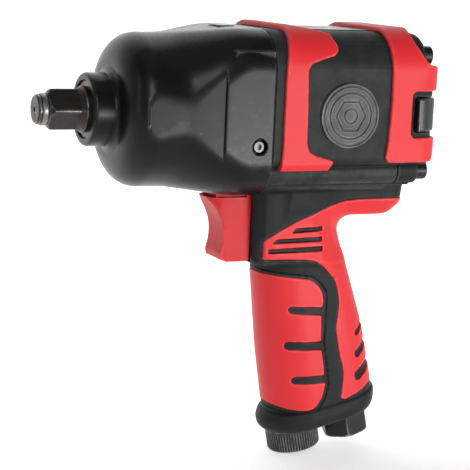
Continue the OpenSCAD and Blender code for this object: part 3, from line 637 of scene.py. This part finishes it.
def f_front_band(x, y, z):
    ay = np.abs(y)
    d = sec(y, z, 35.1, 37.2, -40, 17.7, 4)
    d = inter(d, fb_map(x, z), 0.85)
    d = np.where(z > 24, cut(d, np.maximum(fb_top(x, y), 27.5 - z), 0.85), d)
    d = inter(d, ay - 35.1 + 0.4 * pos(-19.5 - z), 0.3)
    d = inter(d, -23.7 - z, 0.5)
    return np.maximum(d, -(f_barrel(y, z) - 0.03))


def f_core(x, y, z, g=0.0):
    return inter(inter(sec(y, z, 33.4, 35, -21, 16, 4) - g, f_round(x, y, z) + 1.6 - g, 1.0), slab(x, -169.9 - g, -152.6 + g), 0.4)


def f_rear_band(x, y, z):
    d = np.maximum(sec(y, z, 35.1, 37.2, -40, 17.7, 4), f_round(x, y, z))
    d = inter(d, rb_map(x, z), 0.85)
    core = np.minimum(f_core(x, y, z, 0.03), np.maximum(f_barrel(y, z) - 0.03, slab(x, -152.6, -91)))
    d = np.maximum(d, -core)
    return cut(d, np.maximum(rbox(x + 180, y, 15.5, 20, 1.2), z - 21.5), 0.7)


def f_cover(x, y, z):
    ay = np.abs(y)
    d = f_core(x, y, z)
    # recesses of the upper bolt heads
    rec = inter(inter(slab(ay, 19.8, 60), 21.0 - z, 3.5), x - (X_HEAD + 0.6), 0.4)
    d = cut(d, rec, 0.6)
    for b in BOLTS:
        boss = inter(hyp(y - b[0], z - b[1]) - (5.0 if b[1] > 0 else 5.6), slab(x, X_HEAD + 0.6, -152.6), 0.5)
        d = union(d, boss, 0.5 if b[1] > 0 else 0.2)
    bel = inter(inter(f_belly(y, z), slab(x, -161.2, -152.6), 1.2), -30.6 - z, 0.4)
    bel = inter(bel, (-z - 26.8) * 0.35 + (-161.2 - x) * 0.94, 1.0)
    d = np.minimum(d, bel)
    d = np.maximum(d, -np.maximum(hyp(y, z) - 15, -157 - x))
    for b in BOLTS:
        q = hyp(y - b[0], z - b[1])
        d = np.maximum(d, -(q - 2.8))
        d = np.maximum(d, -np.maximum(q - 4.6, x - (X_HEAD + 0.6)))
    d = np.maximum(d, -(hyp(x + 163.6, z - 1) - 4.8))
    d = cut(d, np.maximum(rbox(x + 187.4, z - 1, 30, 7.5, 1.3), 22.5 - ay), 0.4)
    # air grooves across the rear face
    for zz in (-14, -10.5, 13.5, 17):
        d = cut(d, np.maximum(np.abs(z - zz) - 0.7, np.maximum(ay - 17, x + 168.9)), 0.3)
    return d


def button(sign, dy):
    def f(x, y, z):
        yy = y * sign
        z = z - 1.0
        d = rbox(x + 164.2, z, 6.4, 7.1, 1.0)
        d = inter(d, f_round(x, (np.abs(y) if sign > 0 else np.abs(y) + dy), z + 1.0) + 0.6, 0.9)
        d = inter(d, slab(yy, 24 if sign > 0 else 28, 36.5), 0.3)
        # raised thumb rib and a fine step near the front edge
        return d + 0.25 * (1 - step(np.abs(np.abs(x + 164.4) - 5.1), 0.1, 0.35)) * step(yy, 30, 31) 
    return f


# ---- trigger
TRIG = soft([(-74.2, -35.4)] + smooth_line([(-75.2, -37.0), (-77.6, -40), (-80.6, -45), (-82.1, -50), (-82.1, -56), (-80.9, -61)], 8) + [(-81.4, -63.6), (-84, -64.5), (-94.6, -64.5),
             (-94.6, -32.9), (-84.4, -32.9)], 1.1)
TPLAN = [(-74.1, 0), (-74.9, 3.8), (-77.2, 6.8), (-80.6, 8.5), (-85, 8.8), (-100, 8.8), (-100, -8.8), (-85, -8.8), (-80.6, -8.5), (-77.2, -6.8), (-74.9, -3.8)]
trig_map = region(TRIG, 0, 0.15, 4)
tplan_map = region(soft(TPLAN, 4), 0, 0.15, 4)


def f_trigger(x, y, z):
    ay = np.abs(y)
    d = inter(inter(trig_map(x, z), tplan_map(x, y), 0.9), ay - 8.8, 0.7)
    groove = np.maximum(np.abs(z + 35.95) - 0.7, np.maximum(-92.3 - x, -(np.maximum(np.abs(y) - 7.2, x + 78.6))))
    d = cut(d, groove, 0.2)
    return np.maximum(d, -np.maximum(hyp(y, z + 51.5) - 2.02, slab(x, -95, -88)))


# ---- drive
def f_anvil(x, y, z):
    r = hyp(y, z)
    u, v = (y + z) * 0.70710678, (z - y) * 0.70710678
    sq = rbox(u, v, 6.35, 6.35, 0.5)
    chamf = r - np.interp(x, [-19.5, -6.4, -4.6], [8.4, 8.4, 6.7])
    body = inter(inter(sq, chamf, 0.3), slab(x, -24, -4.6), 0.3)
    pilot = inter(r - np.interp(x, [-60, -0.9, -0.1], [6.2, 6.2, 5.6]), slab(x, -1.7, 0.0), 0.25)
    neck = inter(r - 4.6, slab(x, -5.2, -1.0), 0.0)
    d = np.minimum(np.minimum(pilot, neck), body)
    jr = np.interp(x, [-21, -19.6, -18.4, -17.2], [9.5, 9.5, 8.3, 6.6])
    jour = inter(r - jr, slab(x, -44, -17.2), 0.5)
    d = union(d, jour, 1.5)
    d = np.minimum(d, inter(r - 12.2, slab(x, -44, -42.8), 0.15))
    d = np.minimum(d, inter(r - 9.4, slab(x, -49.6, -43.5), 0.2))
    d = np.minimum(d, inter(r - 7.5, slab(x, -73.6, -49), 0.2))
    d = np.minimum(d, inter(r - 5, slab(x, -78, -73), 0.3))
    for c, x0, x1 in ((1, -61.2, -50.3), (-1, -73.2, -62.3)):
        ang = np.abs(np.arctan2(y, z * c))
        lug = inter(inter(r - 11.8, (ang - math.radians(22)) * r, 0.5), slab(x, x0, x1), 0.3)
        lug = np.maximum(lug, 6 - r)
        d = np.minimum(d, lug)
    hole = inter(r - np.interp(x, [-4, -0.5, 0.2], [0.8, 0.8, 1.5]), -3.2 - x, 0.0)
    return cut(d, hole, 0.12)


# ---- badges
def badge(sign):
    def f(x, y, z):
        yy = y * sign - 33.42
        r = hyp(x + 126, z - 0.7)
        d = inter(r - 13.6, slab(yy, 0, 0.9), 0.35)
        for r0, r1 in ((12.0, 12.7), (9.3, 9.9)):
            d = cut(d, np.maximum(slab(r, r0, r1), 0.5 - yy), 0.12)
        hexd = np.maximum(np.abs(z - 0.7), np.abs(x + 126) * 0.8660254 + np.abs(z - 0.7) * 0.5)
        d = cut(d, np.maximum(slab(hexd, 5.6, 6.3), 0.5 - yy), 0.12)
        d = cut(d, np.maximum(slab(r, 2.6, 3.3), 0.5 - yy), 0.12)
        return d
    return f


# ---- exhaust deflector, in the handle frame
def f_deflector(x, y, z):
    t, s = to_handle(x, z)
    u = t - T_EX
    r = hyp(u, y)
    a = np.arctan2(y, u)
    rib = 0.32 * (0.5 + 0.5 * np.cos(a * 60))
    fade = step(s, -53.4, -52.6) * (1 - step(s, -45.6, -45.0))
    outer = r - 11.78 + rib * fade * step(r, 9, 10.5)
    d = inter(outer, slab(s, -53.6, -43.6), 0.7)
    d = cut(d, r - 7.58, 0.2)
    return cut(d, np.maximum(r - 10.3, s + 45.6), 0.3)


def f_inlet(x, y, z):
    t, s = to_handle(x, z)
    u, v = t - T_IN, y
    r = hyp(u, v)
    c, k = math.cos(math.radians(12)), math.sin(math.radians(12))
    p, q = c * u + k * v, -k * u + c * v
    h = np.maximum(np.abs(q), np.abs(p) * 0.8660254 + np.abs(q) * 0.5) - 9.5
    hx = inter(h, slab(s, -54.9, -43.9), 0.25)
    hx = inter(hx, r - (9.9 + pos(s + 54.9) * 0.9), 0.3)
    d = np.minimum(hx, inter(r - 8.5, slab(s, -46, -27.2), 0.4))
    thread = 0.28 * (0.5 + 0.5 * np.cos((s * 2 * math.pi / 1.34) - np.arctan2(v, u)))
    d = cut(d, np.maximum(r - 5.78 + thread * 0.9, s + 44.1), 0.1)
    return np.maximum(d, -(r - 4.4))


# ============================================================ materials
def material(name, base, rough, metal=0.0, vary=0.12, grain=260.0, grain_bump=0.05, fine=1400.0, fine_bump=0.03, wear=None, wear_rough=0.35,
             crease_shade=0.55, coat=0.0, coat_rough=0.2, rings=None, brushed=None, blotch=40.0, rough_vary=0.09, spec=0.5, streak=None, weave=None):
    m = bpy.data.materials.new(name)
    m.use_nodes = True
    nt = m.node_tree
    nt.nodes.clear()
    N = nt.nodes.new
    L = nt.links.new
    out = N("ShaderNodeOutputMaterial")
    bs = N("ShaderNodeBsdfPrincipled")
    L(bs.outputs[0], out.inputs[0])
    bs.inputs["Metallic"].default_value = metal
    bs.inputs["Specular IOR Level"].default_value = spec
    if coat:
        bs.inputs["Coat Weight"].default_value = coat
        bs.inputs["Coat Roughness"].default_value = coat_rough
    tc = N("ShaderNodeTexCoord")
    P = tc.outputs["Object"]

    def math_(op, a, b=None, c=None, clamp=False):
        n = N("ShaderNodeMath")
        n.operation = op
        n.use_clamp = clamp
        for i, v in enumerate((a, b, c)):
            if v is None:
                continue
            if isinstance(v, (int, float)):
                n.inputs[i].default_value = v
            else:
                L(v, n.inputs[i])
        return n.outputs[0]

    def noise(scale, detail=3.0, ro=0.55, vec=None, dist=0.0):
        n = N("ShaderNodeTexNoise")
        n.inputs["Scale"].default_value = scale
        n.inputs["Detail"].default_value = detail
        n.inputs["Roughness"].default_value = ro
        n.inputs["Distortion"].default_value = dist
        L(vec if vec is not None else P, n.inputs["Vector"])
        return n.outputs["Fac"]

    def mix(fac, a, b):
        n = N("ShaderNodeMix")
        n.data_type = "RGBA"
        n.clamp_factor = True
        if isinstance(fac, (int, float)):
            n.inputs[0].default_value = fac
        else:
            L(fac, n.inputs[0])
        for sock, v in ((n.inputs[6], a), (n.inputs[7], b)):
            if isinstance(v, tuple):
                sock.default_value = (*v, 1)
            else:
                L(v, sock)
        return n.outputs[2]

    def remap(v, a, b, c, d):
        n = N("ShaderNodeMapRange")
        n.inputs[1].default_value, n.inputs[2].default_value, n.inputs[3].default_value, n.inputs[4].default_value = a, b, c, d
        L(v, n.inputs[0])
        return n.outputs[0]

    big = noise(blotch, 3)
    mid = noise(grain, 4, 0.6)
    tiny = noise(fine, 2, 0.5)
    lo = tuple(c * (1 - vary) for c in base)
    hi = tuple(min(1, c * (1 + vary) + 0.004 * vary) for c in base)
    col = mix(remap(big, 0.3, 0.7, 0, 1), lo, hi)
    col = mix(remap(mid, 0.35, 0.7, 0, 0.35 + vary), col, tuple(c * (1 - 1.6 * vary) for c in base))
    rg = math_("ADD", remap(big, 0.3, 0.7, rough - rough_vary, rough + rough_vary), remap(mid, 0.3, 0.7, -0.04, 0.04))
    at = N("ShaderNodeAttribute")
    at.attribute_name = "edge"
    edge = at.outputs["Fac"]
    if wear is not None:
        w = math_("MULTIPLY", remap(edge, 0.56, 0.80, 0, 1), remap(noise(170, 5, 0.7), 0.38, 0.60, 0.15, 1), clamp=True)
        col = mix(w, col, wear)
        rg = math_("ADD", rg, math_("MULTIPLY", w, wear_rough - rough))
    if crease_shade < 1:
        # painted shade in creases: concave places have edge below one half (and above zero), and get a darker copy of
        # the base colour there
        has = remap(edge, 0.02, 0.05, 0, 1)
        crease_shade_mask = math_("MULTIPLY", has, remap(edge, 0.47, 0.30, 0, 1), clamp=True)
        col = mix(crease_shade_mask, col, tuple(c * crease_shade for c in base))
    h = math_("ADD", math_("MULTIPLY", mid, grain_bump), math_("MULTIPLY", tiny, fine_bump))
    if brushed:
        # fine lines round the X axis (turned), or along it (ground)
        mp = N("ShaderNodeMapping")
        L(P, mp.inputs["Vector"])
        mp.inputs["Scale"].default_value = brushed
        b = noise(60, 6, 0.7, mp.outputs[0])
        col = mix(remap(b, 0.35, 0.65, 0, 0.55), col, tuple(min(1, c * 1.35 + 0.01) for c in base))
        rg = math_("ADD", rg, remap(b, 0.3, 0.7, -0.07, 0.09))
        h = math_("ADD", h, math_("MULTIPLY", b, 0.10))
    if weave:
        wv = N("ShaderNodeTexWave")
        wv.inputs["Scale"].default_value = weave
        wv.inputs["Distortion"].default_value = 2.5
        wv.inputs["Detail"].default_value = 2
        L(P, wv.inputs["Vector"])
        col = mix(remap(wv.outputs["Fac"], 0, 1, 0, 0.4), col, tuple(c * 0.6 for c in base))
        h = math_("ADD", h, math_("MULTIPLY", wv.outputs["Fac"], 0.12))
    L(col, bs.inputs["Base Color"])
    L(math_("MAXIMUM", math_("MINIMUM", rg, 0.98), 0.06), bs.inputs["Roughness"])
    bp = N("ShaderNodeBump")
    bp.inputs["Strength"].default_value = 0.55
    bp.inputs["Distance"].default_value = 0.0006
    L(h, bp.inputs["Height"])
    L(bp.outputs[0], bs.inputs["Normal"])
    return m


MATS = {
    "case_black": dict(base=(0.0042, 0.0044, 0.0048), rough=0.30, vary=0.14, grain=520, grain_bump=0.02, fine=1900, fine_bump=0.05, wear=(0.022, 0.023, 0.024),
                       wear_rough=0.26, spec=0.27, blotch=22, rough_vary=0.02),
    "housing_black": dict(base=(0.0120, 0.0132, 0.0136), rough=0.54, vary=0.14, grain=900, grain_bump=0.10, fine=2600, fine_bump=0.14, wear=(0.045, 0.047, 0.049),
                          wear_rough=0.44, spec=0.17, blotch=28, rough_vary=0.05),
    "red_overmould": dict(base=(0.66, 0.022, 0.028), rough=0.46, vary=0.05, grain=1100, grain_bump=0.08, fine=2600, fine_bump=0.10, wear=(0.80, 0.07, 0.075),
                          wear_rough=0.44, crease_shade=0.5, spec=0.28, blotch=24, rough_vary=0.04),
    "trigger_red": dict(base=(0.57, 0.016, 0.022), rough=0.46, vary=0.05, grain=500, grain_bump=0.03, fine=1700, fine_bump=0.05, wear=(0.78, 0.06, 0.07),
                        wear_rough=0.4, crease_shade=0.45, spec=0.22, blotch=50, rough_vary=0.04),
    "anvil_steel": dict(base=(0.036, 0.030, 0.026), rough=0.35, metal=0.85, vary=0.18, grain=500, grain_bump=0.05, wear=(0.30, 0.27, 0.24), wear_rough=0.25,
                        brushed=(1.0, 7.0, 7.0), blotch=160, crease_shade=0.6),
    "bright_steel": dict(base=(0.24, 0.235, 0.23), rough=0.34, metal=1.0, vary=0.08, brushed=(9.0, 1.0, 1.0), wear=(0.75, 0.75, 0.76), crease_shade=0.6, blotch=120),
    "hammer_steel": dict(base=(0.22, 0.21, 0.21), rough=0.42, metal=1.0, vary=0.16, brushed=(6.0, 1.5, 1.5), wear=(0.5, 0.5, 0.5), blotch=110),
    "bearing_steel": dict(base=(0.70, 0.70, 0.71), rough=0.14, metal=1.0, vary=0.04, brushed=(14.0, 1.0, 1.0), blotch=150, rough_vary=0.03),
    "black_oxide": dict(base=(0.008, 0.0085, 0.009), rough=0.36, metal=0.35, vary=0.2, grain=700, grain_bump=0.05, wear=(0.16, 0.16, 0.165), wear_rough=0.28,
                        blotch=180, crease_shade=0.5),
    "bushing_metal": dict(base=(0.13, 0.11, 0.095), rough=0.38, metal=1.0, vary=0.12, brushed=(9.0, 1.2, 1.2), blotch=150),
    "vane_composite": dict(base=(0.30, 0.15, 0.07), rough=0.55, vary=0.14, weave=420.0, blotch=80),
    "seal_rubber": dict(base=(0.012, 0.012, 0.013), rough=0.55, vary=0.2, grain=900, grain_bump=0.05, blotch=150),
    "gasket_fibre": dict(base=(0.035, 0.033, 0.030), rough=0.85, vary=0.25, grain=1500, grain_bump=0.15, fine=3000, fine_bump=0.15, blotch=200),
    "badge_black": dict(base=(0.011, 0.012, 0.0124), rough=0.45, vary=0.14, grain=800, grain_bump=0.05, fine=2400, fine_bump=0.07, wear=(0.07, 0.072, 0.075),
                        wear_rough=0.33, crease_shade=0.35, blotch=60),
    "plate_dark": dict(base=(0.010, 0.010, 0.011), rough=0.30, vary=0.2, grain=600, grain_bump=0.02, blotch=70),
    "plate_grey": dict(base=(0.22, 0.20, 0.20), rough=0.35, metal=0.6, vary=0.12, brushed=(1.0, 9.0, 1.0), blotch=200),
    "button_black": dict(base=(0.010, 0.0105, 0.011), rough=0.32, vary=0.14, grain=700, grain_bump=0.03, fine=2000, fine_bump=0.04, wear=(0.07, 0.07, 0.075),
                         wear_rough=0.25, blotch=60),
    "muffler_felt": dict(base=(0.20, 0.185, 0.16), rough=0.95, vary=0.25, grain=1800, grain_bump=0.3, fine=4000, fine_bump=0.3, blotch=300),
}
MATS["plug_steel"] = dict(MATS["bright_steel"], base=(0.13, 0.13, 0.13), rough=0.45, wear=(0.30, 0.30, 0.30))
made = {k: material(k, **v) for k, v in MATS.items()}
slot_of = {s["node"]: s["material_slot"] for s in frame["record"]["subparts"]}
body_of = {n: b for b, ns in frame["record"]["behaviour"]["bodies"].items() for n in ns}


def dress(o, slot):
    o.data.materials.clear()
    o.data.materials.append(made[slot])
    for p in o.data.polygons:
        if p.material_index:
            p.material_index = 0


for name, o in nodes.items():
    if o.type == "MESH":
        for i in range(len(o.material_slots)):
            o.material_slots[i].link = "OBJECT"
            o.material_slots[i].material = made[slot_of[name]]

for i in range(len(nodes["grease_plug"].material_slots)):
    nodes["grease_plug"].material_slots[i].material = made["plug_steel"]

# ============================================================ pieces
PIECES = [
    # name, node, field, grid step
    ("hammer_case_cast", "hammer_case", f_case, 0.62),
    ("motor_housing_moulding", "motor_housing", f_housing, 0.56),
    ("upper_grip_rubber", "upper_grip_panel", f_upper_panel, 0.46),
    ("front_grip_rubber", "front_grip_panel", f_front_panel, 0.46),
    ("front_bumper_rubber", "front_bumper", f_front_band, 0.42),
    ("rear_bumper_rubber", "rear_bumper", f_rear_band, 0.42),
    ("rear_cover_moulding", "rear_cover", f_cover, 0.46),
    ("trigger_moulding", "trigger", f_trigger, 0.26),
    ("anvil_forging", "anvil", f_anvil, 0.26),
    ("knurled_deflector", "exhaust_deflector", f_deflector, 0.20),
    ("inlet_hex_bushing", "inlet_bushing", f_inlet, 0.24),
]


def build(name, node, f, h, lo=None, hi=None):
    a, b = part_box(node)
    lo = np.array(a) * 1000 - 1.6 if lo is None else lo
    hi = np.array(b) * 1000 + 1.6 if hi is None else hi
    o = moulded(name, f, lo, hi, h)
    dress(o, slot_of[node])
    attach(o, body_of[node])
    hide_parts(node)
    return o


for name, node, f, h in PIECES:
    build(name, node, f, h)
for sign, tag in ((1, "left"), (-1, "right")):
    lo = np.array([-141, 32.5 if sign > 0 else -35.2, -14.5])
    hi = np.array([-111, 35.2 if sign > 0 else -32.5, 16.0])
    build("side_badge_" + tag, "side_badges", badge(sign), 0.26, lo, hi)
    a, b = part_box("reverse_buttons")
    lo = np.array(a) * 1000 - 1.5
    hi = np.array(b) * 1000 + 1.5
    if sign > 0:
        lo[1] = 23
    else:
        hi[1] = -23
    build("reverse_button_" + tag, "reverse_buttons", button(sign, 4 if sign < 0 else 0), 0.3, lo, hi)

# edges of the turned and stamped pieces that keep their CAD mesh
for name, w in (("housing_bolts", 0.35), ("grease_plug", 0.15), ("anvil_bushing", 0.2), ("socket_retaining_ring", 0.2), ("exhaust_tube", 0.2), ("bolt_washers", 0.1),
                ("rating_plate", 0.08), ("case_plate", 0.06), ("inlet_washer", 0.08), ("exhaust_circlip", 0.08), ("hammer_cage", 0.3), ("front_hammer", 0.4),
                ("rear_hammer", 0.4), ("rotor", 0.3), ("front_end_plate", 0.25), ("rear_end_plate", 0.25), ("motor_cylinder", 0.25), ("trigger_rod", 0.15)):
    o = nodes[name]
    bv = o.modifiers.new("edge", "BEVEL")
    bv.width = w * 0.001
    bv.segments = 2
    bv.limit_method = "ANGLE"
    bv.angle_limit = math.radians(40)
    bv.harden_normals = False

# ============================================================ camera
def set_camera():
    a, e, roll = math.radians(25), math.radians(10), math.radians(2.536)
    b = Vector((math.sin(a) * math.cos(e), math.cos(a) * math.cos(e), math.sin(e)))
    d = -b
    r = d.cross(Vector((0, 0, 1))).normalized()
    u = r.cross(d)
    rr = math.cos(roll) * r + math.sin(roll) * u
    uu = -math.sin(roll) * r + math.cos(roll) * u
    cam = bpy.data.cameras.new("camera")
    cam.sensor_width = 36
    cam.lens = 1600 * 36 / 470
    cam.clip_start = 0.01
    cam.clip_end = 20
    o = bpy.data.objects.new("camera", cam)
    collection.objects.link(o)
    loc = Vector((-0.09142, 0, -0.05447)) + 0.69054 * b
    M = Matrix((rr, uu, b)).transposed().to_4x4()
    M.translation = loc
    o.matrix_world = M
    bpy.context.scene.camera = o
    return o


set_camera()

# ============================================================ stage and light
def sweep():
    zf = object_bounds()[0][2] - 0.0004
    prof = [(3.0, zf), (0.4, zf), (-0.35, zf)]
    R = 0.5
    for i in range(1, 13):
        t = math.radians(90 * i / 12)
        prof.append((-0.35 - R * math.sin(t), zf + R - R * math.cos(t)))
    prof.append((-0.85, zf + 3.0))
    xs = (-4.0, 4.0)
    vs = [(x, y, z) for x in xs for y, z in prof]
    n = len(prof)
    fs = [(i, i + 1, n + i + 1, n + i) for i in range(n - 1)]
    me = bpy.data.meshes.new("sweep")
    me.from_pydata(vs, [], fs)
    for p in me.polygons:
        p.use_smooth = True
    o = bpy.data.objects.new("sweep", me)
    collection.objects.link(o)
    m = material("paper_painted_glow", base=(0.86, 0.86, 0.86), rough=0.9, vary=0.01, grain=60, grain_bump=0.01, fine=300, fine_bump=0.01, crease_shade=1.0)
    pb = [n for n in m.node_tree.nodes if n.type == "BSDF_PRINCIPLED"][0]
    # painted light: the backdrop glows white, with emission strongest towards the back (Y below -0.25) and within 0.5 m
    # of x = -0.42, and weaker towards the front and the sides; a painted pool of light over the floor and wall
    pb.inputs["Emission Color"].default_value = (1, 1, 1, 1)
    nt = m.node_tree
    tc = nt.nodes.new("ShaderNodeTexCoord")
    sx = nt.nodes.new("ShaderNodeSeparateXYZ")
    nt.links.new(tc.outputs["Object"], sx.inputs[0])
    mr = nt.nodes.new("ShaderNodeMapRange")
    mr.interpolation_type = "SMOOTHSTEP"
    mr.inputs[1].default_value, mr.inputs[2].default_value, mr.inputs[3].default_value, mr.inputs[4].default_value = 0.25, -0.25, 0.12, 0.95
    nt.links.new(sx.outputs["Y"], mr.inputs[0])
    off = nt.nodes.new("ShaderNodeMath")
    off.operation = "ADD"
    off.inputs[1].default_value = 0.42
    nt.links.new(sx.outputs["X"], off.inputs[0])
    ab = nt.nodes.new("ShaderNodeMath")
    ab.operation = "ABSOLUTE"
    nt.links.new(off.outputs[0], ab.inputs[0])
    mx = nt.nodes.new("ShaderNodeMapRange")
    mx.interpolation_type = "SMOOTHSTEP"
    mx.inputs[1].default_value, mx.inputs[2].default_value, mx.inputs[3].default_value, mx.inputs[4].default_value = 1.25, 0.5, 0.22, 1.0
    nt.links.new(ab.outputs[0], mx.inputs[0])
    mu = nt.nodes.new("ShaderNodeMath")
    mu.operation = "MULTIPLY"
    nt.links.new(mr.outputs[0], mu.inputs[0])
    nt.links.new(mx.outputs[0], mu.inputs[1])
    nt.links.new(mu.outputs[0], pb.inputs["Emission Strength"])
    me.materials.append(m)
    o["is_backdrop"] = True


sweep()


def area(name, az, el, dist, w, h, power, target=(-0.09, 0.0, -0.05), color=(1, 1, 1), spread=180):
    a, e = math.radians(az), math.radians(el)
    v = Vector((math.sin(a) * math.cos(e), math.cos(a) * math.cos(e), math.sin(e)))
    li = bpy.data.lights.new(name, "AREA")
    li.shape = "RECTANGLE"
    li.size, li.size_y = w, h
    li.energy = power
    li.color = color
    li.spread = math.radians(spread)
    o = bpy.data.objects.new(name, li)
    collection.objects.link(o)
    o.visible_camera = False
    loc = Vector(target) + v * dist
    q = (Vector(target) - loc).to_track_quat("-Z", "Y")
    o.matrix_world = Matrix.Translation(loc) @ q.to_matrix().to_4x4()
    return o


# azimuth is measured from +Y toward +X, as the camera's
area("key_tall", 22, 14, 1.1, 0.15, 1.2, 5.8)
area("key_front", 80, 12, 1.3, 0.25, 1.2, 1.2)
area("side_fill", -28, -1, 1.2, 0.60, 0.26, 2.8)
area("back_left", -78, 8, 1.2, 0.35, 1.0, 1.9)
area("top_soft", 10, 78, 1.6, 1.2, 0.8, 0.6)
area("card_low", -27, -11, 0.62, 0.50, 0.14, 4.4)


w = bpy.data.worlds.new("studio")
w.use_nodes = True
bpy.context.scene.world = w
bg = w.node_tree.nodes["Background"]
bg.inputs[0].default_value = (1, 1, 1, 1)
bg.inputs[1].default_value = 0.10
bpy.context.scene.view_settings.view_transform = "Standard"
